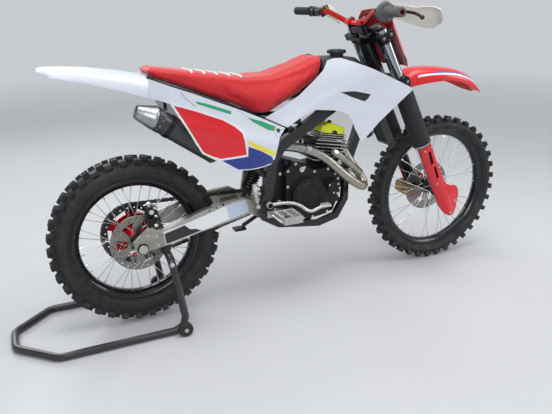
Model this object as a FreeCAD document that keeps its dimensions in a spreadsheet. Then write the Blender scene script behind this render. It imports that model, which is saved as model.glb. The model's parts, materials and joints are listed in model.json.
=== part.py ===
"""Off-road motorcycle held by a paddock stand, built from named sizes in millimetres.

The bike's own frame has its origin on the floor under the rear axle, with +X forward,
+Y to the rider's left and +Z up. Each finished piece is then moved back along X, so that
the origin of the whole model is on the floor in the middle of its length.
"""
import FreeCAD
import Part
import Sketcher

import math
import os
import re

from FreeCAD import Vector

DOC = FreeCAD.newDocument("off_road_motorcycle")
SHEET = DOC.addObject("Spreadsheet::Sheet", "sizes")
PIECES = []

SIZES = {
    # Stance and steering geometry
    "wheelbase": 1427, "rake": 26.3, "clamp_offset": 24, "axle_lead": 35,
    "rear_lift": 10, "stand_reach": 500, "running_gap": 0.3,
    # Tyres, with the radius out to the tips of the blocks
    "front_tyre_radius": 346, "front_rim_edge": 276, "front_bead_half": 24,
    "front_swell_radius": 306, "front_swell_half": 40, "front_crown_half": 26,
    "front_knob_height": 12, "front_knob_length": 25, "front_knob_half": 16,
    "front_flare": 6,
    "rear_tyre_radius": 330, "rear_rim_edge": 238, "rear_bead_half": 31,
    "rear_swell_radius": 276, "rear_swell_half": 48, "rear_crown_half": 34,
    "rear_knob_height": 14, "rear_knob_length": 28, "rear_knob_half": 22,
    "rear_flare": 4, "knob_rows": 36, "knob_root": 5, "wheel_flats": 36,
    # Rims, spokes and hubs
    "front_rim_inner": 256, "front_rim_base_half": 14,
    "rear_rim_inner": 216, "rear_rim_base_half": 18,
    "spoke_width": 3.6, "spoke_count": 36, "spoke_end_gap": 0.6,
    "front_hub_core": 21, "front_hub_half": 47, "front_hub_left": 47, "front_flange_radius": 34,
    "front_flange_y": 32, "front_axle_radius": 10, "axle_bore_radius": 6,
    "rear_hub_core": 27, "rear_hub_half": 47, "rear_hub_left": 61, "rear_flange_radius": 42,
    "rear_flange_y": 34, "rear_axle_radius": 11, "flange_thickness": 6, "hub_flats": 36,
    # Brake discs and sprockets
    "front_disc_radius": 120, "rear_disc_radius": 110, "disc_thickness": 4,
    "disc_window_in": 42, "disc_window_out": 84, "disc_window_spread": 12,
    "disc_windows": 6, "disc_bore": 16,
    "chain_pitch": 15.875, "sprocket_teeth": 48, "small_sprocket_teeth": 13,
    "sprocket_thickness": 6, "tooth_height": 8, "sprocket_bore": 20,
    "chain_height": 15, "chain_plate": 3, "chain_gap": 0.4,
    "sprocket_window_in": 58, "sprocket_window_out": 98, "sprocket_window_spread": 14,
    "small_sprocket_x": 642, "small_sprocket_z": 412,
    # Frame
    "spar_height": 45, "spar_width": 24, "cradle_tube": 26, "down_tube": 34,
    "head_tube_radius": 31, "head_bore_radius": 20, "stem_gap": 0.3,
    "head_low": 628, "head_high": 800,
    "pivot_x": 500, "pivot_z": 398, "pivot_radius": 20, "pivot_half": 89.7, "pivot_nut_radius": 14,
    "rail_radius": 11, "rail_drop": 12.6, "cross_x": 610, "cross_z": 705, "cross_size": 28, "cross_half": 100,
    "shock_bolt_radius": 8, "shock_top_x": 548, "shock_top_z": 618,
    # Fork, measured along the steering axis from the level of the front axle
    "leg_spread": 105, "upper_tube_radius": 24, "slider_radius": 21.5,
    "lower_clamp_low": 592, "lower_clamp_high": 622,
    "upper_clamp_low": 806, "upper_clamp_high": 832, "fork_top": 848,
    "clamp_back": 27, "clamp_waist": 11, "clamp_front": 56, "clamp_half": 136,
    "gaiter_low": 296, "gaiter_radius": 41, "gaiter_neck": 36, "gaiter_ribs": 8,
    "gaiter_flats": 20,
    "lower_leg_radius": 27, "lower_leg_bottom": -48, "guard_thickness": 6,
    "guard_gap": 0.3, "axle_boss_radius": 21,
    # Handlebar
    "bar_radius": 11, "bar_bore_radius": 8, "bar_bore_depth": 60, "bar_half": 405,
    "grip_radius": 17, "grip_length": 114, "throttle_radius": 34, "bar_above": 60,
    "bar_outer_run": 230, "perch_start": 150, "perch_length": 34, "perch_clear": 14,
    "guard_grip": 13,
    # Paddock stand and side stand
    "stand_tube": 14.5, "stand_half": 195, "stand_bend": 45, "stand_corner_x": 345,
    "stand_rear_half": 62, "stand_front": 130, "pickup_x": 86, "pickup_z": 314, "pickup_y": 92,
    "roller_x": 112, "roller_radius": 28, "roller_width": 26,
    "side_stand_radius": 9, "side_stand_x": 745, "side_stand_z": 398, "stand_pin_radius": 7,
    "roller_pin_radius": 6,
    "barrel_x": 820, "barrel_z": 560, "barrel_lean": 10, "header_radius": 19,
    "peg_low": 384, "peg_high": 404, "muffler_radius": 42, "muffler_tail_radius": 24, "wall": 4,
}

DERIVED = {
    "rear_axle_z": "(rear_tyre_radius + rear_lift)",
    "model_centre": "((wheelbase + front_tyre_radius - stand_reach) / 2)",
    "axle_forward": "(clamp_offset + axle_lead)",
    "bar_rise": "(upper_clamp_high + bar_above)",
    "guard_root": "(bar_half - perch_start - perch_length - perch_clear)",
    "steer_x": "(wheelbase - (clamp_offset + axle_lead) * cos(rake))",
    "steer_z": "(front_tyre_radius - (clamp_offset + axle_lead) * sin(rake))",
    "sprocket_pitch_radius": "(chain_pitch / 2 / sin(180 / sprocket_teeth))",
    "small_pitch_radius": "(chain_pitch / 2 / sin(180 / small_sprocket_teeth))",
    "sprocket_y": "(rear_hub_left + sprocket_thickness / 2)",
    "chain_side": "(sprocket_thickness / 2 + chain_gap)",
    "roller_bore": "((roller_pin_radius + running_gap) / cos(180 / 24))",
}

# Corner points of the outlines seen from the side, as x forward and z up.
OUTLINES = {
    "shroud": {
        "tail": (500, 785), "seat_edge": (647, 862), "tank_edge": (747, 950),
        "top_rear": (766, 984), "top": (820, 992), "top_front": (935, 952),
        "nose_top": (1065, 891), "nose": (1118, 862), "nose_low": (1051, 801),
        "chin": (978, 738), "tip": (905, 659), "tip_rear": (875, 716),
        "throat": (852, 766), "belly": (710, 802), "belly_rear": (592, 741),
    },
    "shroud_vent": {
        "rear": (812, 864), "top": (868, 866), "front": (936, 850), "low": (912, 823),
        "low_rear": (856, 844),
    },
    "side_panel": {
        "fender": (72, 893), "step": (145, 868), "notch": (182, 805), "heel": (224, 694),
        "low_rear": (290, 646), "low": (371, 609), "low_front": (469, 604),
        "toe": (540, 624), "front": (551, 684), "front_top": (584, 741),
        "seat_low": (497, 783), "seat_mid": (384, 834), "seat_rear": (216, 903),
        "seat_end": (68, 960),
    },
    "seat": {
        "tail": (66, 974), "tail_low": (112, 953), "mid_low": (216, 913),
        "front_low": (384, 844), "valley": (492, 795), "valley_front": (537, 799),
        "rise": (662, 860), "rise_top": (752, 921), "nose": (768, 968),
        "nose_top": (768, 1003), "top_front": (677, 968), "top_dip": (560, 934),
        "top_mid": (446, 932), "top_rear": (228, 966), "top_tail": (74, 990),
    },
    "swingarm": {
        "end_low": (-24, 318), "end": (-30, 362), "block_top": (31, 414),
        "block_front": (79, 396), "top_mid": (246, 452), "top_front": (415, 471),
        "pivot_top": (500, 428), "pivot_front": (526, 398), "pivot_low": (500, 368),
        "low_front": (439, 400), "low_mid": (230, 366), "low_rear": (82, 334),
    },
}


def build_sheet():
    """Write every size and outline corner into the sheet as a plain number with a name."""
    row = 0
    for name, number in all_sizes().items():
        row += 1
        SHEET.set("A%d" % row, str(number))
        SHEET.setAlias("A%d" % row, name)
    DOC.recompute()


def all_sizes():
    """Return the sizes together with the two coordinates of each outline corner."""
    sizes = dict(SIZES)
    for outline_name, corners in OUTLINES.items():
        for corner, (along, up) in corners.items():
            sizes["%s_%s_x" % (outline_name, corner)] = along
            sizes["%s_%s_z" % (outline_name, corner)] = up
    return sizes


NAMES = set(all_sizes())


def bind(text):
    """Turn a formula in plain size names into an expression on the sheet."""
    text = str(text)
    while any(re.search(r"\b%s\b" % name, text) for name in DERIVED):
        for name, formula in DERIVED.items():
            text = re.sub(r"\b%s\b" % name, formula, text)
    return re.sub(r"[a-z]\w*", lambda found: "sizes." + found.group(0)
                  if found.group(0) in NAMES else found.group(0), text)


def number(text):
    """Work out a formula as a number."""
    return float(SHEET.evalExpression(bind(text)))


def point(along, across, up):
    """Work out three formulas as a point."""
    return Vector(number(along), number(across), number(up))


def corners_of(outline_name):
    """Return the corner names of an outline as pairs of formulas."""
    return [("%s_%s_x" % (outline_name, corner), "%s_%s_z" % (outline_name, corner))
            for corner in OUTLINES[outline_name]]


VIEWS = {"side": ("XZ_Plane", -1), "plan": ("XY_Plane", 1), "front": ("YZ_Plane", 1)}


def outline(body, view, loops, offset="0", turn="0"):
    """Draw closed outlines, held by the named sizes, on one of the body's own planes."""
    plane, sign = VIEWS[view]
    sketch = body.newObject("Sketcher::SketchObject", "outline")
    base = next(item for item in body.Origin.OriginFeatures if item.Role == plane)
    sketch.AttachmentSupport = (base, [""])
    sketch.MapMode = "FlatFace"
    sketch.AttachmentOffset = FreeCAD.Placement(Vector(), FreeCAD.Rotation(Vector(0, 1, 0), 1))
    sketch.setExpression("AttachmentOffset.Base.z", bind("%d * (%s)" % (sign, offset)))
    sketch.setExpression("AttachmentOffset.Rotation.Angle", bind(turn))
    for loop in loops:
        draw_loop(sketch, loop)
    return sketch


def draw_loop(sketch, loop):
    """Add one closed polygon whose corners are bound to the sheet."""
    first = sketch.GeometryCount
    places = [Vector(number(along), number(up), 0) for along, up in loop]
    count = len(places)
    for index in range(count):
        sketch.addGeometry(Part.LineSegment(places[index], places[(index + 1) % count]), False)
    for index in range(count):
        after = first + (index + 1) % count
        sketch.addConstraint(Sketcher.Constraint("Coincident", first + index, 2, after, 1))
    for index, (along, up) in enumerate(loop):
        for kind, formula, size in (("DistanceX", along, places[index].x),
                                    ("DistanceY", up, places[index].y)):
            held = sketch.addConstraint(
                Sketcher.Constraint(kind, -1, 1, first + index, 1, size))
            sketch.setExpression("Constraints[%d]" % held, bind(formula))


def new_body(name):
    """Start an empty body."""
    return DOC.addObject("PartDesign::Body", name)


def add_pad(body, view, loops, low, high, turn="0"):
    """Add material between two levels of the direction that the view looks along."""
    start = high if view == "side" else low
    sketch = outline(body, view, loops, start, turn)
    pad = body.newObject("PartDesign::Pad", "pad")
    pad.Profile = sketch
    pad.setExpression("Length", bind("(%s) - (%s)" % (high, low)))
    return pad


def cut_pocket(body, view, loops, low, high, turn="0"):
    """Remove material between two levels of the direction that the view looks along."""
    start = low if view == "side" else high
    sketch = outline(body, view, loops, start, turn)
    pocket = body.newObject("PartDesign::Pocket", "pocket")
    pocket.Profile = sketch
    pocket.setExpression("Length", bind("(%s) - (%s)" % (high, low)))
    return pocket


def prism(name, view, loops, low, high):
    """Make a body from outlines and two levels."""
    body = new_body(name)
    add_pad(body, view, loops, low, high)
    return body


def turned(name, points, view="plan"):
    """Turn an outline about the vertical axis of its own sketch."""
    body = new_body(name)
    add_turn(body, points, view)
    return body


def add_turn(body, points, view="plan"):
    """Add a turned feature to a body."""
    sketch = outline(body, view, [points])
    turn = body.newObject("PartDesign::Revolution", "turn")
    turn.Profile = sketch
    turn.ReferenceAxis = (sketch, ["V_Axis"])
    turn.Angle = 360
    return turn


def round_flats(points, sides, view="plan"):
    """Carry an outline round its upright axis in equal flats, as one solid."""
    profile = [(number(along), number(up)) for along, up in points]
    rings = []
    for index in range(int(number(sides))):
        angle = math.radians(360 * (index + 0.5) / int(number(sides)))
        cos, sin = math.cos(angle), math.sin(angle)
        if view == "plan":
            rings.append([Vector(along * cos, up, along * sin) for along, up in profile])
        else:
            rings.append([Vector(along * cos, along * sin, up) for along, up in profile])
    faces = []
    for ring, after in zip(rings, rings[1:] + rings[:1]):
        faces += flats_between(ring, after)
    return closed_solid(faces)


def flats_between(ring, after):
    """Flat faces that join two rings of points, with a twisted side split in two."""
    faces = []
    for index in range(len(ring)):
        follow = (index + 1) % len(ring)
        corners = [ring[index], ring[follow], after[follow], after[index]]
        flat = [corner for place, corner in enumerate(corners)
                if corner.distanceToPoint(corners[place - 1]) > 1e-6]
        if len(flat) == 4 and Part.makePolygon(flat + flat[:1]).findPlane(1e-4) is None:
            if flat[0].distanceToPoint(flat[2]) > flat[1].distanceToPoint(flat[3]):
                flat = flat[1:] + flat[:1]
            faces += [flat_face(flat[:3]), flat_face([flat[0], flat[2], flat[3]])]
        elif len(flat) > 2:
            faces.append(flat_face(flat))
    return faces


def flat_face(corners):
    """Flat face through corners."""
    return Part.Face(Part.makePolygon(corners + corners[:1]))


def closed_solid(faces):
    """Solid bounded by faces that meet along their edges."""
    shell = Part.makeShell(faces)
    shell.sewShape()
    solid = Part.makeSolid(shell)
    if solid.Volume < 0:
        solid.reverse()
    return solid


def flat_loft(sections):
    """Solid through sections that face along X, each given as a station and its corners."""
    rings = [[point(station, across, up) for across, up in corners]
             for station, corners in sections]
    faces = [flat_face(rings[0]), flat_face(rings[-1])]
    for ring, after in zip(rings, rings[1:]):
        faces += flats_between(ring, after)
    return closed_solid(faces)


def laid(shape, foot, head):
    """Put a shape made upright from its foot along the line between two points."""
    shape.Placement = FreeCAD.Placement(foot, FreeCAD.Rotation(Vector(0, 0, 1), head - foot))
    return shape


def largest(shape):
    """Keep the main solid of a cut shape."""
    return max(shape.Solids, key=lambda solid: solid.Volume)


def repeat_round(body, features, sketch, count):
    """Repeat features round the vertical axis of a sketch."""
    DOC.recompute()
    rows = body.newObject("PartDesign::PolarPattern", "rows")
    rows.Originals = features
    rows.Axis = (sketch, ["V_Axis"])
    rows.Angle = 360
    rows.setExpression("Occurrences", bind(count))
    body.Tip = rows
    return rows


def rod(name, base, radius, length):
    """Make a round bar along Y from its low end."""
    bar = DOC.addObject("Part::Cylinder", name)
    bar.Placement = FreeCAD.Placement(Vector(), FreeCAD.Rotation(Vector(1, 0, 0), -90))
    bar.setExpression("Radius", bind(radius))
    bar.setExpression("Height", bind(length))
    for axis, formula in zip("xyz", base):
        bar.setExpression("Placement.Base." + axis, bind(formula))
    return bar


def upright(name, base, radius, length):
    """Make a round bar along Z from its low end."""
    bar = DOC.addObject("Part::Cylinder", name)
    bar.setExpression("Radius", bind(radius))
    bar.setExpression("Height", bind(length))
    for axis, formula in zip("xyz", base):
        bar.setExpression("Placement.Base." + axis, bind(formula))
    return bar


def feature(name, shape):
    """Hold a finished shape in the document, with any turn of its own kept inside."""
    item = DOC.addObject("Part::Feature", name)
    item.Shape = shape if shape.Placement.isIdentity() else Part.makeCompound([shape])
    return item


def rounded_wire(points, bend):
    """Join points by straight runs with an arc of one radius at each corner."""
    if bend <= 0 or len(points) < 3:
        return Part.makePolygon(points)
    edges = []
    start = points[0]
    for before, corner, after in zip(points, points[1:], points[2:]):
        back = (before - corner).normalize()
        on = (after - corner).normalize()
        half = back.getAngle(on) / 2
        reach = bend / math.tan(half)
        first = corner + back * reach
        last = corner + on * reach
        middle_line = (back + on).normalize()
        middle = corner + middle_line * (bend / math.sin(half) - bend)
        edges.append(Part.LineSegment(start, first).toShape())
        edges.append(Part.Arc(first, middle, last).toShape())
        start = last
    edges.append(Part.LineSegment(start, points[-1]).toShape())
    return Part.Wire(edges)


def round_tube(points, radius, bend=0):
    """Sweep a round bar along a path."""
    wire = rounded_wire(points, bend)
    along = points[1] - points[0]
    ring = Part.Wire([Part.makeCircle(radius, points[0], along)])
    return swept(wire, ring)


def eased(points, bend):
    """Replace each corner of a path by two chords of an arc that touches both runs."""
    if bend <= 0:
        return points
    path = [points[0]]
    for before, corner, after in zip(points, points[1:], points[2:]):
        back = (before - corner).normalize()
        on = (after - corner).normalize()
        half = back.getAngle(on) / 2
        reach = bend / math.tan(half)
        middle = corner + (back + on).normalize() * (bend / math.sin(half) - bend)
        path += [corner + back * reach, middle, corner + on * reach]
    return path + [points[-1]]


def flat_tube(points, radius, bend, sides):
    """Sweep a bar with equal flats along a path whose corners are eased by short runs."""
    wire = Part.makePolygon(eased(points, bend))
    along = (points[1] - points[0]).normalize()
    first = along.cross(Vector(0, 0, 1) if abs(along.z) < 0.9 else Vector(1, 0, 0)).normalize()
    ring = []
    for index in range(sides):
        turn = FreeCAD.Rotation(along, 360 * (index + 0.5) / sides)
        ring.append(points[0] + turn.multVec(first) * radius)
    return swept(wire, Part.makePolygon(ring + ring[:1]))


def box_tube(points, high, wide):
    """Sweep a rectangular section along a path, keeping its sides upright."""
    along = (points[1] - points[0]).normalize()
    side = Vector(0, 1, 0) - along * along.y
    side.normalize()
    top = along.cross(side)
    ring = [points[0] + side * (wide / 2 * one) + top * (high / 2 * other)
            for one, other in ((1, 1), (1, -1), (-1, -1), (-1, 1), (1, 1))]
    return swept(Part.makePolygon(points), Part.makePolygon(ring))


def swept(wire, ring):
    """Sweep a closed section along a wire, with mitred corners."""
    sweep = Part.BRepOffsetAPI.MakePipeShell(wire)
    sweep.setTransitionMode(1)
    sweep.add(ring)
    sweep.build()
    sweep.makeSolid()
    return sweep.shape()


def both_sides(shape):
    """Return a shape and its mirror image across the bike's middle."""
    return [shape, shape.mirror(Vector(), Vector(0, 1, 0))]


def fuse(shapes):
    """Join shapes into one solid."""
    return shapes[0].multiFuse(shapes[1:]).removeSplitter()


def group(name, items):
    """Hold separate solids together as one piece."""
    pack = DOC.addObject("Part::Compound", name)
    pack.Links = items
    return pack


def mirrored(item):
    """Mirror an object across the bike's middle."""
    copy = DOC.addObject("Part::Mirroring", item.Name + "_other")
    copy.Source = item
    copy.Base = Vector()
    copy.Normal = Vector(0, 1, 0)
    return copy


def cut_by(name, item, tool):
    """Cut one object by another."""
    result = DOC.addObject("Part::Cut", name)
    result.Base = item
    result.Tool = tool
    return result


def common_of(name, item, tool):
    """Keep what two objects share."""
    result = DOC.addObject("Part::Common", name)
    result.Base = item
    result.Tool = tool
    return result


def joined(name, items):
    """Join objects into one solid."""
    result = DOC.addObject("Part::MultiFuse", name)
    result.Shapes = items
    return result


PLACES = {
    "bike": ("0", "0"),
    "rear_wheel": ("0", "rear_axle_z"),
    "front_wheel": ("wheelbase", "front_tyre_radius"),
    "steering": ("steer_x", "steer_z"),
}


def publish(item, label, place="bike"):
    """Name a finished piece and put it where it belongs."""
    DOC.recompute()
    along, up = PLACES[place]
    if item.TypeId == "Part::Cylinder":
        item = group(item.Name + "_held", [item])
    item.Label = label
    if place == "steering":
        item.Placement = FreeCAD.Placement(Vector(), FreeCAD.Rotation(Vector(0, -1, 0), 1))
        item.setExpression("Placement.Rotation.Angle", bind("rake"))
    item.setExpression("Placement.Base.x", bind("%s - model_centre" % along))
    item.setExpression("Placement.Base.z", bind(up))
    PIECES.append(item)


# Wheels, in a frame at the axle with Y along it


def tyre(end):
    """Carcass with rows of centre blocks and pairs of shoulder blocks between them."""
    size = {key: number("%s_%s" % (end, key)) for key in (
        "tyre_radius", "rim_edge", "bead_half", "swell_radius", "swell_half", "crown_half",
        "knob_height", "knob_length", "knob_half", "flare")}
    crown = size["tyre_radius"] - size["knob_height"]
    half_profile = [(size["rim_edge"], size["bead_half"]),
                    (size["swell_radius"], size["swell_half"]), (crown, size["crown_half"])]
    carcass = round_flats([(radius, -across) for radius, across in half_profile]
                          + half_profile[::-1], "wheel_flats")
    wall = size["tyre_radius"] - size["swell_radius"]
    root = crown - number("knob_root")
    centre = [[(root, -size["knob_half"]), (size["tyre_radius"], 2 - size["knob_half"]),
               (size["tyre_radius"], size["knob_half"] - 2), (root, size["knob_half"])]]
    edge = [(root - 1, size["crown_half"] - 8),
            (size["tyre_radius"] - 4, size["crown_half"]),
            (size["swell_radius"] + wall * 0.45, size["swell_half"] + size["flare"]),
            (size["swell_radius"] + wall * 0.2, size["swell_half"] - 8)]
    shoulders = [edge, [(radius, -across) for radius, across in edge]]
    rows = int(number("knob_rows"))
    blocks = []
    for row in range(rows):
        turn = 360 / rows
        blocks += [block(loop, size["knob_length"], turn * row) for loop in centre]
        blocks += [block(loop, size["knob_length"], turn * (row + 0.5)) for loop in shoulders]
    publish(feature(end + "_tyre_whole", carcass.multiFuse(blocks)), end + "_tyre",
            end + "_wheel")


def block(loop, length, angle):
    """One tread block, drawn across the tyre and turned round the axle."""
    face = flat_face([Vector(radius, across, -length / 2) for radius, across in loop])
    solid = face.extrude(Vector(0, 0, length))
    solid.rotate(Vector(), Vector(0, 1, 0), angle)
    return solid


def rim(end):
    """Trapezoid rim that fills the space between the tyre's beads."""
    edge, half = end + "_rim_edge", end + "_bead_half"
    inner, base = end + "_rim_inner", end + "_rim_base_half"
    ring = round_flats([(inner, "-" + base), (edge, "-" + half), (edge, half), (inner, base)],
                       "wheel_flats")
    publish(feature(end + "_rim_whole", ring), end + "_rim", end + "_wheel")


def spokes(end):
    """Crossed spokes from both hub flanges to the rim."""
    count = int(number("spoke_count"))
    flange = number(end + "_flange_radius + spoke_width * 0.45")
    reach = number(end + "_rim_inner * cos(180 / wheel_flats) - spoke_end_gap")
    across = number(end + "_flange_y")
    width = number("spoke_width")
    bars = []
    for index in range(count):
        side = 1 if index % 2 else -1
        lean = math.radians(38 if index % 4 < 2 else -38)
        angle = 2 * math.pi * index / count
        low = Vector(flange * math.cos(angle + lean), side * across,
                     flange * math.sin(angle + lean))
        high = Vector(reach * math.cos(angle), side * 5, reach * math.sin(angle))
        bars.append(square_bar(low, high, width))
    publish(feature(end + "_spokes", Part.makeCompound(bars)), end + "_spokes", end + "_wheel")


def square_bar(low, high, width):
    """Make a thin square bar between two points."""
    along = (high - low).normalize()
    side = along.cross(Vector(0, 1, 0)).normalize()
    other = along.cross(side)
    ring = [low + side * (width / 2 * one) + other * (width / 2 * two)
            for one, two in ((1, 1), (1, -1), (-1, -1), (-1, 1), (1, 1))]
    return Part.Face(Part.makePolygon(ring)).extrude(high - low)


def hub(end):
    """Hub with two flanges and a through bore for the axle."""
    bore = "(%s_axle_radius + running_gap)" % end
    core, half, left = end + "_hub_core", end + "_hub_half", end + "_hub_left"
    flange, mid = end + "_flange_radius", end + "_flange_y"
    near = "(%s - flange_thickness)" % mid
    far = "(%s + flange_thickness)" % mid
    body = round_flats([
        (bore, "-" + half), (core, "-" + half), (core, "-" + far), (flange, "-" + far),
        (flange, "-" + near), (core, "-" + near), (core, near), (flange, near),
        (flange, far), (core, far), (core, left), (bore, left)], "hub_flats")
    publish(feature(end + "_hub_whole", body), end + "_hub", end + "_wheel")


def disc(end, side):
    """Flat brake disc with windows that leave arms to its centre."""
    low = "-(%s_hub_half + disc_thickness)" % end if side < 0 else end + "_hub_left"
    high = "(%s) + disc_thickness" % low
    body = turned(end + "_disc", [
        ("disc_bore", low), (end + "_disc_radius", low), (end + "_disc_radius", high),
        ("disc_bore", high)])
    DOC.recompute()
    window = cut_pocket(body, "side", [[
        ("disc_window_in", "-disc_window_spread"),
        ("disc_window_out", "-2 * disc_window_spread"),
        ("disc_window_out", "2 * disc_window_spread"),
        ("disc_window_in", "disc_window_spread")]], low, high)
    repeat_round(body, [window], body.Group[0], "disc_windows")
    publish(body, end + "_disc", end + "_wheel")


def sprocket():
    """Large toothed ring with windows, against the left end of the rear hub."""
    low = "rear_hub_left"
    high = "(rear_hub_left + sprocket_thickness)"
    root = "(sprocket_pitch_radius - tooth_height / 2)"
    body = turned("rear_sprocket", [
        ("sprocket_bore", low), (root, low), (root, high), ("sprocket_bore", high)])
    DOC.recompute()
    window = cut_pocket(body, "side", [[
        ("sprocket_window_in", "-sprocket_window_spread"),
        ("sprocket_window_out", "-2 * sprocket_window_spread"),
        ("sprocket_window_out", "2 * sprocket_window_spread"),
        ("sprocket_window_in", "sprocket_window_spread")]], low, high)
    repeat_round(body, [window], body.Group[0], "disc_windows")
    tip = "(sprocket_pitch_radius + tooth_height / 2)"
    tooth = add_pad(body, "side", [[
        ("%s - 2" % root, "-chain_pitch * 0.3"), (tip, "-chain_pitch * 0.1"),
        (tip, "chain_pitch * 0.1"), ("%s - 2" % root, "chain_pitch * 0.3")]], low, high)
    repeat_round(body, [tooth], body.Group[0], "sprocket_teeth")
    publish(body, "rear_sprocket", "rear_wheel")


# Chassis, in the bike's own frame


def main_frame():
    """Two spars, a down tube, a double cradle and the steering head in one weldment."""
    spar = box_tube([
        point("1046", "30", "893"), point("905", "80", "846"), point("761", "100", "775"),
        point("574", "106", "668"), point("534", "106", "610"), point("516", "106", "500"),
        point("494", "106", "380")], number("spar_height"), number("spar_width"))
    rail = box_tube([
        point("930", "10", "500"), point("893", "66", "392"), point("842", "78", "326"),
        point("755", "82", "306"), point("560", "105", "340"), point("494", "105", "380")],
        number("cradle_tube"), number("cradle_tube"))
    down = box_tube([point("1064", "0", "925"), point("985", "0", "650"),
                     point("926", "0", "490")], number("down_tube"), number("down_tube"))
    cross = Part.makeBox(number("cross_size"), number("2 * cross_half"), number("cross_size"),
                         point("cross_x", "-cross_half", "cross_z"))
    head = Part.makeCylinder(number("head_tube_radius"), number("head_high - head_low"))
    bore = Part.makeCylinder(number("head_bore_radius"), number("head_high - head_low"))
    whole = fuse(both_sides(spar) + both_sides(rail) + [down, cross, in_steering(head)])
    whole = whole.cut(in_steering(bore))
    nut = pivot_cylinder("pivot_nut_radius", "115", "122")
    mount = Part.makeBox(30, 24, 110, point("730", "94", "302"))
    shock_bolt = Part.makeCylinder(number("shock_bolt_radius"), 190,
                                   point("shock_top_x", "-95", "shock_top_z"), Vector(0, 1, 0))
    front_mount = Part.makeBox(70, 28, 40, point("850", "-14", "450"))
    low_mount = Part.makeBox(34, 160, 24, point("690", "-80", "311"))
    pin = Part.makeCylinder(number("stand_pin_radius"), 18,
                            point("side_stand_x", "118", "side_stand_z"), Vector(0, 1, 0))
    whole = fuse([whole, mount, pin, shock_bolt, front_mount, low_mount] + both_sides(nut))
    feature("main_frame_plain", whole)
    publish(feature("main_frame", whole), "main_frame")


def in_steering(shape):
    """Put a shape made upright from the head's low end on the steering axis."""
    turn = FreeCAD.Rotation(Vector(0, -1, 0), number("rake"))
    foot = point("steer_x", "0", "steer_z")
    up = turn.multVec(Vector(0, 0, number("head_low")))
    shape.Placement = FreeCAD.Placement(foot + up, turn)
    return shape


def pivot_cylinder(radius, low, high):
    """Round bar about the swingarm's pivot between two places across the bike."""
    return Part.makeCylinder(number(radius), number(high) - number(low),
                             point("pivot_x", low, "pivot_z"), Vector(0, 1, 0))


def subframe():
    """Bolted rear rails that carry the seat and the rear fender."""
    upper = flat_tube([point("668", "88", "752"), point("505", "86", "776"),
                       point("seat_front_low_x", "84", "seat_front_low_z - rail_drop"),
                       point("seat_mid_low_x", "76", "seat_mid_low_z - rail_drop"),
                       point("84", "66", "952")], number("rail_radius"), 0, 12)
    lower = flat_tube([point("501", "100", "556"), point("300", "64", "740"),
                       point("156", "72", "922")], number("rail_radius"), 0, 12)
    loop = flat_tube([point("84", "-70", "952"), point("84", "70", "952")],
                     number("rail_radius"), 0, 12)
    whole = fuse(both_sides(upper) + both_sides(lower) + [loop])
    whole = whole.cut(DOC.getObject("main_frame_plain").Shape)
    publish(feature("subframe", whole), "subframe")


def swingarm():
    """Two deep arms joined by a bridge ahead of the tyre and by the pivot tube."""
    blank = prism("arm_blank", "side", [corners_of("swingarm")], "60", "120")
    plan = prism("arm_plan", "plan", [[
        ("-40", "88"), ("250", "86"), ("420", "76"), ("530", "73"), ("530", "86"),
        ("465", "86"), ("420", "97"), ("250", "112"), ("-40", "114")]], "300", "480")
    arm = common_of("arm", blank, plan)
    other = mirrored(arm)
    bridge = prism("bridge", "side", [[
        ("376", "392"), ("446", "402"), ("446", "432"), ("376", "428")]], "-90", "90")
    DOC.recompute()
    pivot = pivot_cylinder("pivot_radius", "-pivot_half", "pivot_half")
    whole = fuse([arm.Shape, other.Shape, bridge.Shape, pivot])
    slot = Part.makeCylinder(number("rear_axle_radius"), 300,
                             point("0", "-150", "rear_axle_z"), Vector(0, 1, 0))
    publish(feature("swingarm", whole.cut(slot)), "swingarm")


def chain():
    """Two link plate loops that run outside the teeth of both sprockets."""
    loops = []
    for side in (1, -1):
        near = number("sprocket_y") + side * number("chain_side")
        far = near + side * number("chain_plate")
        thick = Vector(0, number("chain_plate"), 0)
        outer = Part.Face(chain_loop(number("chain_height / 2"), min(near, far)))
        inner = Part.Face(chain_loop(number("-chain_height / 2"), min(near, far)))
        loops.append(outer.extrude(thick).cut(inner.extrude(thick)))
    publish(feature("chain", Part.makeCompound(loops)), "chain")


def chain_loop(grow, across):
    """Closed loop of short runs round both sprockets, grown from the pitch line."""
    big = number("sprocket_pitch_radius") + grow
    small = number("small_pitch_radius") + grow
    rear = point("0", "0", "rear_axle_z")
    front = point("small_sprocket_x", "0", "small_sprocket_z")
    run = front - rear
    heading = math.atan2(run.z, run.x)
    lean = math.acos((big - small) / run.Length)
    places = []
    for centre, radius, start, sweep, steps in (
            (rear, big, heading + lean, 2 * math.pi - 2 * lean, 20),
            (front, small, heading - lean, 2 * lean, 8)):
        for step in range(steps + 1):
            angle = start + sweep * step / steps
            places.append(Vector(centre.x + radius * math.cos(angle), across,
                                 centre.z + radius * math.sin(angle)))
    return Part.makePolygon(places + places[:1])


def crankcase():
    """Engine casting between the frame rails."""
    blank = prism("case_blank", "side", [[
        ("556", "392"), ("600", "350"), ("740", "330"), ("838", "344"), ("872", "420"),
        ("884", "505"), ("880", "552"), ("840", "566"), ("740", "556"), ("612", "600"),
        ("562", "560")]],
        "-64", "54")
    gear = rod("small_sprocket_shaft", ("small_sprocket_x", "-10", "small_sprocket_z"),
               "small_pitch_radius - chain_height / 2 - 3", "sprocket_y + 8 + 10")
    solid = joined("crankcase_solid", [blank, gear])
    publish(cut_by("crankcase_whole", solid, DOC.getObject("main_frame_plain")), "crankcase")


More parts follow.
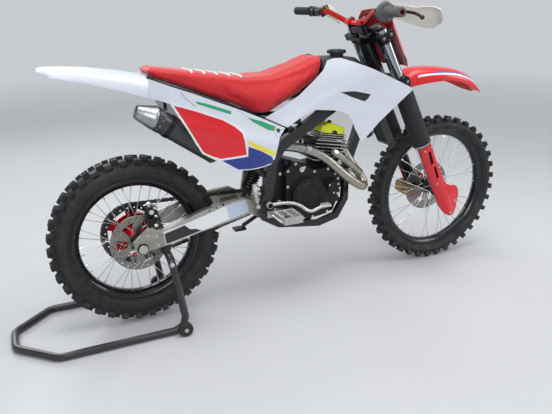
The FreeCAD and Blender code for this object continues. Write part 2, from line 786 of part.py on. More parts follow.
def engine_covers():
    """Clutch cover on the right and generator cover on the left."""
    clutch = prism("clutch_cover", "side", [[
        ("600", "420"), ("628", "352"), ("720", "336"), ("800", "348"), ("852", "430"),
        ("850", "500"), ("800", "552"), ("730", "548"), ("640", "592"), ("602", "560")]],
        "-96", "-64")
    dome = rod("clutch_dome", ("700", "-116", "440"), "78", "20")
    oil = rod("oil_cover", ("806", "-112", "470"), "32", "16")
    right = joined("right_cover", [clutch, dome, oil])
    left_dome = rod("generator_dome", ("762", "54", "450"), "72", "34")
    publish(group("covers", [right, left_dome]), "engine_covers")


def cylinder():
    """Leaning barrel with square cooling fins."""
    shapes = [Part.makeBox(104, 90, 106, Vector(-52, -45, -20))]
    for row in range(7):
        shapes.append(Part.makeBox(156, 134, 5, Vector(-80, -67, 4 + row * 14)))
    whole = leant(fuse(shapes)).cut(placed_back("crankcase_whole")).cut(placed_back("covers"))
    publish(feature("cylinder", largest(whole)), "cylinder")


def leant(shape):
    """Put a shape made upright on the barrel's foot, leaning forward."""
    shape.Placement = FreeCAD.Placement(point("barrel_x", "0", "barrel_z"),
                                        FreeCAD.Rotation(Vector(0, 1, 0), number("barrel_lean")))
    return shape


def head_cover():
    """Cylinder head with the camshaft cover on top of it."""
    head = Part.makeBox(130, 104, 26, Vector(-62, -52, 93.3))
    cover = Part.makeBox(118, 96, 34, Vector(-56, -48, 119.3))
    cap = Part.makeCylinder(22, 96, Vector(-16, -48, 140), Vector(0, 1, 0))
    publish(feature("head_cover", leant(fuse([head, cover, cap]))), "head_cover")


def airbox():
    """Air filter housing under the seat, with the mouth that feeds the engine."""
    box = prism("airbox_case", "side", [[
        ("262", "660"), ("430", "640"), ("500", "660"), ("500", "765"), ("420", "770"),
        ("240", "780")]], "-50", "50")
    throat = feature("throat", round_tube([point("500", "0", "700"), point("640", "0", "676"),
                                           point("790", "0", "636")], 24))
    whole = joined("airbox_join", [box, throat])
    DOC.recompute()
    whole = whole.Shape.cut(placed_back("cylinder")).cut(placed_back("head_cover"))
    publish(feature("airbox_whole", whole), "airbox")


def exhaust_header():
    """Header down the right side, with a closed tube bracketed above its front run."""
    pipe = flat_tube([
        point("893", "-20", "628"), point("936", "-46", "586"), point("962", "-84", "506"),
        point("945", "-118", "452"), point("855", "-122", "517"), point("772", "-112", "600"),
        point("700", "-94", "634"), point("630", "-74", "652"), point("540", "-74", "662"),
        point("440", "-112", "666"), point("330", "-114", "654")], number("header_radius"), 20, 12)
    upper = flat_tube([point("803", "-120", "623"), point("954", "-98", "505")],
                      number("header_radius - 3"), 0, 12)
    brackets = [Part.makeBox(16, 10, 34, point("822", "-122", "562")),
                Part.makeBox(16, 10, 34, point("876", "-120", "512"))]
    whole = fuse([pipe, upper] + brackets).cut(muffler_shape()).cut(placed_back("cylinder"))
    publish(feature("exhaust_header", largest(whole.cut(placed_back("head_cover")))),
            "exhaust_header")


def placed_back(name):
    """Return a finished piece's shape in the bike's own frame."""
    shape = DOC.getObject(name).Shape.copy()
    shape.Placement = FreeCAD.Placement()
    return shape


def muffler_shape():
    """Round body with a cone at its inlet and a conical tail bent towards level."""
    start, finish = point("326", "-114", "654"), point("84", "-112", "822")
    length = (finish - start).Length
    body = laid(round_flats([
        ("0", "0"), ("header_radius + 1", "0"), ("muffler_radius", "30"),
        ("muffler_radius", length + 4), ("0", length + 4)], "24", "side"), start, finish)
    tail = laid(round_flats([
        ("0", "-4"), ("muffler_radius", "-4"), ("muffler_radius", "6"),
        ("muffler_tail_radius", "70"), ("0", "70")], "24", "side"),
        finish, finish + Vector(-0.92, 0, 0.39))
    return body.fuse(tail).removeSplitter()


def muffler():
    """Tapered silencer with a conical end cap."""
    publish(feature("muffler", muffler_shape()), "muffler")


def fuel_tank():
    """Tank over the spars, between the shrouds."""
    body = flat_loft([
        ("768.4", [("-72", "850"), ("72", "850"), ("104", "910"), ("76", "988"), ("-76", "988"),
                   ("-104", "910")]),
        ("930", [("-70", "885"), ("70", "885"), ("112", "915"), ("66", "986"), ("-66", "986"),
                 ("-112", "915")]),
        ("985", [("-46", "920"), ("46", "920"), ("60", "928"), ("42", "952"), ("-42", "952"),
                 ("-60", "928")])])
    publish(feature("tank_whole", body.cut(placed_back("main_frame"))), "fuel_tank")


def fuel_cap():
    """Screw cap on top of the tank."""
    cap = upright("cap", ("880", "0", "984"), "30", "30")
    tank = feature("tank_below", placed_back("tank_whole"))
    publish(cut_by("cap_whole", cap, tank), "fuel_cap")


def seat():
    """Soft saddle, plain here, with its crown narrower than its base."""
    blank = prism("seat_blank", "side", [corners_of("seat")], "-115", "115")
    shape = prism("seat_section", "front", [[
        ("-112", "790"), ("112", "790"), ("108", "900"), ("82", "1010"), ("-82", "1010"),
        ("-108", "900")]], "40", "790")
    plan = prism("seat_plan", "plan", [[
        ("40", "-70"), ("250", "-100"), ("500", "-112"), ("650", "-104"), ("790", "-84"),
        ("790", "84"), ("650", "104"), ("500", "112"), ("250", "100"), ("40", "70")]],
        "780", "1020")
    publish(common_of("seat_whole", common_of("seat_side", blank, shape), plan), "seat")


def rear_fender():
    """Arched fender that tapers to a tail behind the seat."""
    def arch(station, half, top, low, wall):
        return (station, [
            ("-%s" % half, low), ("-%s + 22" % half, top), ("%s - 22" % half, top),
            (half, low), ("%s - %s" % (half, wall), low), ("%s - 24" % half, "%s - %s" % (top, wall)),
            ("-%s + 24" % half, "%s - %s" % (top, wall)), ("-%s + %s" % (half, wall), low)])
    body = flat_loft([
        arch("-278", "62", "1000", "990", "wall"), arch("-240", "84", "1006", "976", "wall"),
        arch("-20", "108", "982", "922", "wall"), arch("64", "112", "967", "893", "wall")])
    lug = prism("fender_lug", "side", [[
        ("40", "940"), ("92", "940"), ("92", "956"), ("64", "956"), ("64", "965"),
        ("40", "969")]], "-40", "40")
    DOC.recompute()
    whole = fuse([body, lug.Shape]).cut(placed_back("subframe"))
    publish(feature("rear_fender", whole), "rear_fender")


def side_panels():
    """Thin covers under the seat on both sides."""
    blank = prism("side_blank", "side", [corners_of("side_panel")], "90", "175")
    skin = prism("side_skin", "plan", [[
        ("60", "116"), ("130", "143"), ("200", "157"), ("350", "166"), ("470", "157"),
        ("590", "124"), ("590", "128"), ("470", "161"), ("350", "170"), ("200", "161"),
        ("130", "147"), ("60", "120")]],
        "590", "980")
    plate = common_of("side_plate", blank, skin)
    rear_lug = prism("side_rear_lug", "side", [[
        ("330", "822"), ("356", "822"), ("356", "844"), ("330", "844")]], "82", "167")
    front_lug = prism("side_front_lug", "side", [[
        ("546", "640"), ("560", "640"), ("560", "664"), ("546", "664")]], "110", "135")
    DOC.recompute()
    left = fuse([plate.Shape, rear_lug.Shape, front_lug.Shape])
    left = left.cut(placed_back("main_frame")).cut(placed_back("subframe"))
    publish(feature("side_pair", Part.makeCompound(both_sides(left))), "side_panels")


def shrouds():
    """Thin pointed covers beside the tank, each with one air opening."""
    blank = prism("shroud_blank", "side", [corners_of("shroud")], "100", "230")
    skin = prism("shroud_skin", "plan", [[
        ("480", "124"), ("740", "132"), ("900", "170"), ("1130", "204"), ("1130", "208"),
        ("900", "174"), ("740", "136"), ("480", "128")]], "640", "1000")
    vent = prism("shroud_vent", "side", [corners_of("shroud_vent")], "100", "230")
    plate = cut_by("shroud_left", common_of("shroud_side", blank, skin), vent)
    tank_lug = prism("shroud_tank_lug", "side", [[
        ("846", "900"), ("870", "900"), ("870", "924"), ("846", "924")]], "60", "161")
    spar_lug = prism("shroud_spar_lug", "side", [[
        ("716", "806"), ("742", "806"), ("742", "826"), ("716", "826")]], "60", "133")
    DOC.recompute()
    left = fuse([plate.Shape, tank_lug.Shape, spar_lug.Shape])
    left = left.cut(placed_back("main_frame")).cut(placed_back("tank_whole"))
    left = max(left.Solids, key=lambda solid: solid.Volume)
    publish(feature("shroud_pair", Part.makeCompound(both_sides(left))), "shrouds")


def shock_absorber():
    """Rear spring and damper between the swingarm's bridge and the frame."""
    low, high = point("436", "0", "424"), point("shock_top_x", "0", "shock_top_z")
    length = (high - low).Length
    spring = [("9", "0"), ("9", length * 0.28), ("28", length * 0.28)]
    for coil in range(7):
        up = length * (0.3 + 0.055 * coil)
        spring += [("30", up), ("30", up + 8), ("23", up + 10)]
    spring += [("26", length * 0.72), ("26", length * 0.9), ("9", length * 0.9),
               ("9", length), ("0", length), ("0", "0")]
    body = laid(round_flats(spring, "16", "side"), low, high)
    eye = Part.makeCylinder(17, 24, high - Vector(0, 12, 0), Vector(0, 1, 0))
    whole = fuse([body, eye]).cut(placed_back("swingarm")).cut(placed_back("main_frame"))
    publish(feature("shock_absorber", largest(whole)), "shock_absorber")


def footpegs():
    """Open rests with toothed tops, on brackets under the spars."""
    low, high = number("peg_low"), number("peg_high")
    ring = prism("peg_ring", "plan", [
        [("522", "132"), ("612", "132"), ("606", "240"), ("528", "240")],
        [("532", "142"), ("562", "142"), ("562", "230"), ("534", "230")],
        [("570", "142"), ("602", "142"), ("598", "230"), ("570", "230")]], low, high + 8)
    teeth = [("132", low)]
    for tooth in range(9):
        teeth += [(str(132 + 12 * tooth), high), (str(138 + 12 * tooth), high + 8)]
    cut = prism("peg_teeth", "front", [teeth + [("240", high), ("240", low)]], "500", "630")
    peg = common_of("peg", ring, cut)
    arm = prism("peg_arm", "side", [[
        ("500", low), ("570", low), ("570", "%s + 22" % low), ("500", "%s + 30" % low)]],
        "108", "134")
    DOC.recompute()
    left = fuse([peg.Shape, arm.Shape]).cut(placed_back("main_frame"))
    publish(feature("peg_pair", Part.makeCompound(both_sides(left))), "footpegs")


def foot_levers():
    """Brake pedal and its master cylinder on the right, and the gear lever on the left."""
    pedal = feature("pedal", fuse([
        flat_tube([point("510", "-118", "440"), point("510", "-138", "440"),
                   point("640", "-148", "424"), point("740", "-150", "408")], 7, 0, 8),
        Part.makeBox(40, 30, 8, point("735", "-165", "404"))]))
    gear = feature("gear", fuse([
        flat_tube([point("698", "54", "398"), point("698", "156", "398"),
                   point("800", "160", "424")], 6, 0, 8),
        Part.makeBox(24, 30, 14, point("796", "152", "417"))]))
    master = fuse([flat_tube([point("470", "-118", "452"), point("478", "-118", "528")],
                             11, 0, 10),
                   Part.makeBox(24, 8, 34, point("474", "-122", "482"))])
    master = feature("master_cylinder", master.cut(placed_back("main_frame")))
    publish(group("lever_pair", [pedal, gear, master]), "foot_levers")


def rear_axle():
    """Through axle with a head and a nut."""
    bar = rod("axle_bar", ("0", "-128", "rear_axle_z"), "rear_axle_radius", "256")
    head = rod("axle_head", ("0", "-128", "rear_axle_z"), "17", "13.7")
    nut = rod("axle_nut", ("0", "114.3", "rear_axle_z"), "16", "13.7")
    publish(joined("rear_axle_whole", [bar, head, nut]), "rear_axle")


def rear_caliper():
    """Two halves that straddle the rear disc on the swingarm's inner side."""
    body = prism("caliper", "side", [[
        ("34", "430"), ("64", "424"), ("78", "446"), ("70", "482"), ("44", "486"),
        ("32", "462")]], "-80", "-40")
    gap = prism("caliper_gap", "side", [[
        ("-120", "300"), ("120", "300"), ("120", "468"), ("-120", "468")]], "-54", "-44")
    bracket = prism("caliper_bracket", "side", [[
        ("30", "396"), ("66", "390"), ("66", "446"), ("34", "446")]], "-100", "-79")
    DOC.recompute()
    whole = fuse([body.Shape.cut(gap.Shape), bracket.Shape]).cut(placed_back("swingarm"))
    publish(feature("caliper_whole", whole), "rear_caliper")


def paddock_stand():
    """One bent tube that lies on the floor behind the wheel and rises to both swingarm ends."""
    half, tube = number("stand_half"), number("stand_tube")
    side = [point("pickup_x", "pickup_y", "pickup_z"),
            point("pickup_x", "stand_half - 18", "pickup_z"),
            Vector(number("stand_front"), half, tube),
            point("-stand_corner_x", "stand_half", "stand_tube"),
            point("stand_tube - stand_reach", "stand_rear_half", "stand_tube")]
    path = side + [Vector(place.x, -place.y, place.z) for place in side[::-1]]
    loop = flat_tube(path, tube, number("stand_bend"), 10)
    pad = Part.makeBox(40, 22, 30, point("pickup_x - 20", "pickup_y - 2", "pickup_z"))
    pad = pad.cut(placed_back("swingarm"))
    stub = Part.makeCylinder(number("roller_pin_radius"), number("stand_tube + roller_width + 4"),
                             point("roller_x", "stand_half", "roller_radius"), Vector(0, 1, 0))
    whole = fuse([loop] + both_sides(pad) + both_sides(stub))
    publish(feature("paddock_stand", whole), "paddock_stand")


def side_stand():
    """Folded side stand along the left side."""
    hinge = point("side_stand_x", "118.5", "side_stand_z")
    eye = Part.makeCylinder(15, 16, hinge, Vector(0, 1, 0))
    leg = round_tube([point("side_stand_x - 8", "127", "side_stand_z - 5"),
                      point("494", "134", "262")], number("side_stand_radius"))
    foot = Part.makeBox(52, 40, 10, point("452", "114", "246"))
    bore = Part.makeCylinder(number("stand_pin_radius + running_gap"), 40,
                             hinge - Vector(0, 5, 0), Vector(0, 1, 0))
    publish(feature("side_stand", fuse([eye, leg, foot]).cut(bore)), "side_stand")


def stand_rollers():
    """Small wheels at the front of the stand."""
    near = number("stand_half + stand_tube + 1.5")
    bore, radius, flats = "roller_bore", "roller_radius", "24"
    wheel = round_flats([
        (bore, "0"), (radius + " - 4", "0"), (radius, "4"), (radius, "roller_width - 4"),
        (radius + " - 4", "roller_width"), (bore, "roller_width")], flats)
    for name, low in (("stand_roller_left", near),
                      ("stand_roller_right", -near - number("roller_width"))):
        copy = wheel.copy()
        copy.translate(Vector(number("roller_x"), low, number("roller_radius")))
        publish(feature(name + "_whole", copy), name)


# Steering pieces, in a frame on the steering axis at the level of the front axle


def leg_at(item, side):
    """Move a piece made on the axis to one fork leg."""
    item.setExpression("Placement.Base.x", bind("clamp_offset"))
    item.setExpression("Placement.Base.y", bind("%d * leg_spread" % side))
    return item


def leg_pair(label, points):
    """Turn the same piece for both fork legs."""
    pair = [leg_at(turned("%s_%d" % (label, side + 1), points, "side"), side)
            for side in (1, -1)]
    publish(group(label + "_pair", pair), label, "steering")


def fork_tubes():
    """Wide upper tubes over slim sliding tubes."""
    leg_pair("fork_tubes", [
        ("0", "gaiter_low"), ("slider_radius", "gaiter_low"),
        ("slider_radius", "lower_clamp_low - 4"), ("upper_tube_radius", "lower_clamp_low - 4"),
        ("upper_tube_radius", "fork_top"), ("14", "fork_top"), ("14", "fork_top + 8"),
        ("0", "fork_top + 8")])


def fork_gaiters():
    """Ribbed rubber covers over the sliding tubes."""
    inner = "(slider_radius / cos(180 / gaiter_flats) + guard_gap)"
    points = [(inner, "gaiter_low"), ("gaiter_radius", "gaiter_low")]
    step = "(lower_clamp_low - 4 - gaiter_low) / gaiter_ribs"
    for rib in range(int(number("gaiter_ribs"))):
        points.append(("gaiter_neck", "gaiter_low + %s * (%d + 0.8)" % (step, rib)))
        if rib < int(number("gaiter_ribs")) - 1:
            points.append(("gaiter_radius", "gaiter_low + %s * (%d + 1)" % (step, rib)))
    points.append((inner, "lower_clamp_low - 4 - 0.2 * %s" % step))
    leg = round_flats(points, "gaiter_flats", "side")
    pair = []
    for side in (1, -1):
        copy = leg.copy()
        copy.translate(point("clamp_offset", "%d * leg_spread" % side, "0"))
        pair.append(copy)
    publish(feature("gaiter_pair", Part.makeCompound(pair)), "fork_gaiters", "steering")


def fork_lowers():
    """Lower legs with the bosses that carry the axle."""
    parts = []
    for side in (1, -1):
        leg = leg_at(turned("lower_leg_%d" % (side + 1), [
            ("0", "lower_leg_bottom"), ("lower_leg_radius - 4", "lower_leg_bottom"),
            ("lower_leg_radius", "lower_leg_bottom + 8"), ("lower_leg_radius", "gaiter_low"),
            ("0", "gaiter_low")], "side"), side)
        low = "leg_spread - 22" if side > 0 else "-(leg_spread + 22)"
        boss = rod("axle_boss_%d" % (side + 1), ("axle_forward", low, "0"),
                   "axle_boss_radius", "44")
        web = prism("axle_web_%d" % (side + 1), "side", [[
            ("clamp_offset", "-20"), ("axle_forward", "-20"), ("axle_forward", "20"),
            ("clamp_offset", "60")]], "%d * leg_spread - 14" % side, "%d * leg_spread + 14" % side)
        bore = rod("axle_bore_%d" % (side + 1), ("axle_forward", low, "0"),
                   "front_axle_radius", "44")
        parts.append(cut_by("lower_whole_%d" % (side + 1),
                            joined("lower_join_%d" % (side + 1), [leg, boss, web]), bore))
    publish(group("lower_pair", parts), "fork_lowers", "steering")


def fork_guards():
    """Plastic guards outside the lower legs."""
    points = [("0", "292"), ("50", "296"), ("52", "86"), ("76", "40"), ("104", "28"),
              ("104", "-20"), ("76", "-60"), ("50", "-94"), ("14", "-92"), ("-8", "-50"),
              ("-4", "60")]
    sheet = prism("guard_sheet", "side", [points], "leg_spread + lower_leg_radius + guard_gap",
                  "leg_spread + lower_leg_radius + guard_gap + guard_thickness")
    hole = rod("guard_hole", ("axle_forward", "leg_spread", "0"), "axle_boss_radius", "80")
    left = cut_by("guard_left", sheet, hole)
    publish(group("guard_pair", [left, mirrored(left)]), "fork_guards", "steering")


def fork_clamps():
    """Upper and lower clamps joined by the steering stem."""
    plates = []
    for name in ("lower", "upper"):
        plates.append(prism(name + "_clamp", "plan", [[
            ("-clamp_back", "-15"), ("-clamp_waist", "-38"), ("clamp_offset - 34", "-clamp_half"),
            ("clamp_offset + 32", "-clamp_half"), ("clamp_front", "-60"), ("clamp_front", "60"),
            ("clamp_offset + 32", "clamp_half"), ("clamp_offset - 34", "clamp_half"),
            ("-clamp_waist", "38"), ("-clamp_back", "15")]], name + "_clamp_low", name + "_clamp_high"))
    stem = upright("stem", ("0", "0", "lower_clamp_high - 1"), "head_bore_radius - stem_gap",
                   "upper_clamp_low - lower_clamp_high + 2")
    posts = [upright("bar_post_%d" % (side + 1), ("-8", "%d * 48" % side,
             "upper_clamp_high - 1"), "15", "bar_rise - upper_clamp_high + 1") for side in (1, -1)]
    whole = joined("clamps_solid", plates + [stem] + posts)
    legs = [leg_at(upright("leg_bore_%d" % (side + 1), ("0", "0", "lower_clamp_low - 10"),
                           "upper_tube_radius", "400"), side) for side in (1, -1)]
    bored = cut_by("clamps_drilled", cut_by("clamps_bored", whole, legs[0]), legs[1])
    bar = rod("bar_bed", ("-8", "-80", "bar_rise"), "bar_radius", "160")
    publish(cut_by("clamps_whole", bored, bar), "fork_clamps", "steering")


def bar_path(side=1):
    """Points of one half of the handlebar, from its middle to its end."""
    rise = number("bar_rise")
    return [Vector(-8, 0, rise), Vector(-8, side * 62, rise),
            Vector(-18, side * (number("bar_half") - number("bar_outer_run")), rise + 52),
            Vector(-52, side * number("bar_half"), rise + 72)]


def handlebar():
    """Bent tube with open ends, seated on the upper clamp's posts."""
    half = bar_path()[::-1] + bar_path(-1)[1:]
    bar = round_tube(half, number("bar_radius"))
    for side in (1, -1):
        path = bar_path(side)
        inward = (path[2] - path[3]).normalize()
        bar = bar.cut(Part.makeCylinder(number("bar_bore_radius"), number("bar_bore_depth"),
                                        path[3], inward))
    cap = Part.makeBox(36, 28, 15.5, Vector(-26, 34, number("bar_rise")))
    publish(feature("handlebar", fuse([bar] + both_sides(cap))), "handlebar", "steering")


def sleeve(side, inner, outer, start, length):
    """Ring round the straight outer run of the handlebar, measured from its end."""
    path = bar_path(side)
    inward = (path[2] - path[3]).normalize()
    base = path[3] + inward * start
    ring = Part.makeCylinder(outer, length, base, inward)
    return ring.cut(Part.makeCylinder(inner, length, base, inward))


def grips():
    """Rubber grips over the ends of the bar."""
    rings = [sleeve(side, number("bar_radius"), number("grip_radius"), 2,
                    number("grip_length")) for side in (1, -1)]
    publish(feature("grips", Part.makeCompound(rings)), "grips", "steering")


def bar_controls():
    """Lever perches and levers, with the throttle drum on the right."""
    shapes = []
    for side in (1, -1):
        perch = sleeve(side, number("bar_radius"), 17, number("perch_start"),
                       number("perch_length"))
        if side < 0:
            perch = perch.fuse(sleeve(side, number("bar_radius"), number("throttle_radius"),
                                      number("grip_length") + 4, 32))
        path = bar_path(side)
        inward = (path[2] - path[3]).normalize()
        base = path[3] + inward * (number("perch_start") + 16)
        lever = box_tube([base + Vector(14, 0, 0), base + Vector(44, side * 20, -6),
                          base + Vector(52, side * 150, -14)], 9, 12)
        shapes.append(fuse([perch, lever]))
    publish(feature("bar_controls", Part.makeCompound(shapes)), "bar_controls", "steering")


def handguards():
    """Open shields ahead of the grips, each clamped on the bar inboard of the perch."""
    band = prism("guard_band", "plan", [[
        ("6", "guard_root + 7"), ("48", "guard_root + 51"), ("76", "guard_root + 93"),
        ("98", "guard_root + 163"), ("88", "guard_root + 221"), ("84", "guard_root + 220"),
        ("94", "guard_root + 164"), ("72", "guard_root + 95"), ("45", "guard_root + 54"),
        ("4", "guard_root + 11")]], "bar_rise - 72", "bar_rise + 78")
    face = prism("guard_face", "front", [[
        ("guard_root - 2", "bar_rise + 30"), ("guard_root + 55", "bar_rise - 26"),
        ("guard_root + 89", "bar_rise - 52"), ("guard_root + 133", "bar_rise - 67"),
        ("guard_root + 213", "bar_rise - 32"), ("guard_root + 213", "bar_rise + 10"),
        ("guard_root + 93", "bar_rise + 25"), ("guard_root + 33", "bar_rise + 60"),
        ("guard_root - 2", "bar_rise + 68")]], "-20", "120")
    shield = common_of("handguard_left", band, face)
    arm = prism("guard_arm", "plan", [[
        ("-38", "guard_root"), ("7", "guard_root"), ("7", "guard_root + guard_grip"),
        ("-38", "guard_root + guard_grip")]], "bar_rise + 34", "bar_rise + 74")
    DOC.recompute()
    path = bar_path()
    bar = Part.makeCylinder(number("bar_radius"), number("bar_outer_run"), path[3],
                            (path[2] - path[3]).normalize())
    left = fuse([shield.Shape, arm.Shape]).cut(bar)
    left = max(left.Solids, key=lambda solid: solid.Volume)
    publish(feature("handguard_pair", Part.makeCompound(both_sides(left))),
            "handguards", "steering")


def number_plate():
    """Bare front plate that wraps round the fork tubes."""
    band = prism("plate_band", "plan", [[
        ("62", "132"), ("80", "116"), ("98", "60"), ("98", "-60"), ("80", "-116"),
        ("62", "-132"), ("64", "-136"), ("83", "-119"), ("102", "-62"), ("102", "62"),
        ("83", "119"), ("64", "136")]], "640", "900")
    face = prism("plate_face", "front", [[
        ("-90", "642"), ("90", "642"), ("138", "720"), ("138", "840"), ("100", "896"),
        ("-100", "896"), ("-138", "840"), ("-138", "720")]], "0", "120")
    lug = prism("plate_lug", "plan", [[
        ("clamp_front", "-30"), ("99", "-30"), ("99", "30"), ("clamp_front", "30")]],
        "upper_clamp_low + 4", "upper_clamp_high - 4")
    whole = joined("plate_solid", [common_of("plate_whole", band, face), lug])
    publish(whole, "number_plate", "steering")


def front_fender():
    """Arched fender bolted under the lower clamp."""
    def arch(station, half, top, low):
        return (station, [
            ("-%s" % half, low), ("-%s + 26" % half, top), ("%s - 26" % half, top), (half, low),
            ("%s - wall" % half, low), ("%s - 28" % half, "%s - wall" % top),
            ("-%s + 28" % half, "%s - wall" % top), ("-%s + wall" % half, low)])
    body = flat_loft([
        arch("1060", "50", "796", "772"), arch("1215", "61", "880", "842"),
        arch("1362", "86", "914", "864"), arch("1475", "84", "905", "850"),
        arch("1548", "76", "876", "824"), arch("1636", "52", "798", "786")])
    DOC.recompute()
    foot = Part.makeBox(40, 60, 34, Vector(6, -30, number("lower_clamp_low") - 34))
    foot.Placement = FreeCAD.Placement(point("steer_x", "0", "steer_z"),
                                       FreeCAD.Rotation(Vector(0, -1, 0), number("rake")))
    publish(feature("front_fender", fuse([body, foot])), "front_fender")


def front_axle():
    """Through axle held by both fork legs, with spacers up to the hub."""
    reach = "leg_spread + 24"
    bar = rod("front_axle_bar", ("axle_forward", "-(%s)" % reach, "0"), "front_axle_radius",
              "2 * (%s)" % reach)
    bore = rod("front_axle_bore", ("axle_forward", "-(%s)" % reach, "0"), "axle_bore_radius",
               "2 * (%s)" % reach)
    publish(cut_by("front_axle_whole", bar, bore), "front_axle", "steering")


def front_caliper():
    """Two halves that straddle the front disc behind the left leg."""
    body = prism("front_caliper_body", "side", [[
        ("-70", "30"), ("-30", "10"), ("-14", "50"), ("-30", "92"), ("-64", "96"),
        ("-84", "62")]], "38", "88")
    gap = prism("front_caliper_gap", "side", [[
        ("-62", "-60"), ("100", "-60"), ("100", "120"), ("-62", "120")]], "44", "54")
    bracket = prism("front_caliper_bracket", "side", [[
        ("-32", "30"), ("12", "36"), ("12", "70"), ("-32", "72")]], "80", "92")
    DOC.recompute()
    legs = DOC.getObject("lower_pair").Shape.copy()
    legs.Placement = FreeCAD.Placement()
    whole = fuse([body.Shape.cut(gap.Shape), bracket.Shape]).cut(legs)
    publish(feature("front_caliper_whole", whole), "front_caliper", "steering")


def build_all():
    """Build every piece."""
    for end in ("front", "rear"):
        tyre(end)
        rim(end)
        spokes(end)
        hub(end)
    disc("front", 1)
    disc("rear", -1)
    for build in (
            sprocket, main_frame, subframe, swingarm, chain, crankcase, engine_covers, cylinder,
            head_cover, airbox, exhaust_header, muffler, fuel_tank, fuel_cap, seat, rear_fender,
            side_panels, shrouds, shock_absorber, footpegs, foot_levers, rear_axle,
            rear_caliper, paddock_stand, side_stand, stand_rollers, fork_tubes, fork_gaiters,
            fork_lowers, fork_guards, fork_clamps, handlebar, grips, bar_controls, handguards,
            number_plate, front_fender, front_axle, front_caliper):
        build()


def check_document():
    """Stop if anything in the document failed."""
    DOC.recompute()
    for item in DOC.Objects:
        if "Invalid" in item.State or "Error" in item.State:
            raise RuntimeError("failed: %s" % item.Name)
    for item in PIECES:
        if item.Shape.isNull() or not item.Shape.isValid():
            raise RuntimeError("bad shape: %s" % item.Label)


def main():
    build_sheet()
    build_all()
    check_document()
    os.makedirs("parts", exist_ok=True)
    for item in PIECES:
        item.Shape.exportStep("parts/%s.step" % item.Label)


main()
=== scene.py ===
"""Looks of an off-road motorcycle on a paddock stand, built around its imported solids."""
import json
import math

import bmesh
import bpy
from mathutils import Matrix, Vector
from mathutils.bvhtree import BVHTree


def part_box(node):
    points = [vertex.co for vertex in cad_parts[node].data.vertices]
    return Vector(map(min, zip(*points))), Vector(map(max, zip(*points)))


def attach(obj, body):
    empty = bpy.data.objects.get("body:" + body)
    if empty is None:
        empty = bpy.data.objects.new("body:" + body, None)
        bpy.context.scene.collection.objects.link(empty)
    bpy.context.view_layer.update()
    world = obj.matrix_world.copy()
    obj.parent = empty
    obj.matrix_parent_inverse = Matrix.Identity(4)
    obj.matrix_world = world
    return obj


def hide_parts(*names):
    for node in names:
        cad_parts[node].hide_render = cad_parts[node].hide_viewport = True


bl_info = {
    "name": "Off-road motorcycle looks",
    "version": (1, 0, 0),
    "blender": (4, 5, 0),
    "location": "View3D > Sidebar > Motorcycle",
    "description": "Models the visible surfaces of an off-road motorcycle on its stand",
    "category": "Object",
}

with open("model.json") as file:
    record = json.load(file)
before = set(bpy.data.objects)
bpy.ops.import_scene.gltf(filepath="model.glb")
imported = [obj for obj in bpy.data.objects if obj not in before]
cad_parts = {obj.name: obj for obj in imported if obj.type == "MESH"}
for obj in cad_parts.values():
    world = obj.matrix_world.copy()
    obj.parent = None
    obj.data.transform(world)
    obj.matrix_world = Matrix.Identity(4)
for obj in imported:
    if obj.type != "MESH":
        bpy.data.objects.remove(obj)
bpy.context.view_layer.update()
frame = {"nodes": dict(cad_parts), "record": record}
BODY_OF = {node: body for body, nodes in frame["record"]["behaviour"]["bodies"].items()
           for node in nodes}
BACK = -0.6365  # the rear axle's place along X

# Places of the moving centres, in metres
RAKE = math.radians(26.3)
REAR_CENTRE = Vector((BACK, 0, 0.340))
FRONT_CENTRE = Vector((BACK + 1.427, 0, 0.346))
STEER_FOOT = Vector((0.737605, 0, 0.319859))
FORK = Matrix.Translation(STEER_FOOT) @ Matrix.Rotation(-RAKE, 4, "Y")
FORK_AHEAD, FORK_UP = FORK.to_3x3() @ Vector((1, 0, 0)), FORK.to_3x3() @ Vector((0, 0, 1))
AHEAD, LEFT, RIGHT = Vector((1, 0, 0)), Vector((0, 1, 0)), Vector((0, -1, 0))
UP = Vector((0, 0, 1))


def at(x, y, z):
    """Place given in millimetres in the bike's own frame, with the rear axle at x = 0."""
    return Vector((BACK + x / 1000, y / 1000, z / 1000))


def on_fork(x, y, up):
    """Place given in millimetres across and along the steering axis."""
    return FORK @ (Vector((x, y, up)) / 1000)


def lean_with_fork(*meshes):
    """Move meshes that were made upright, in metres, onto the steering axis."""
    for bm in meshes:
        bmesh.ops.transform(bm, matrix=FORK, verts=bm.verts[:])


# Materials


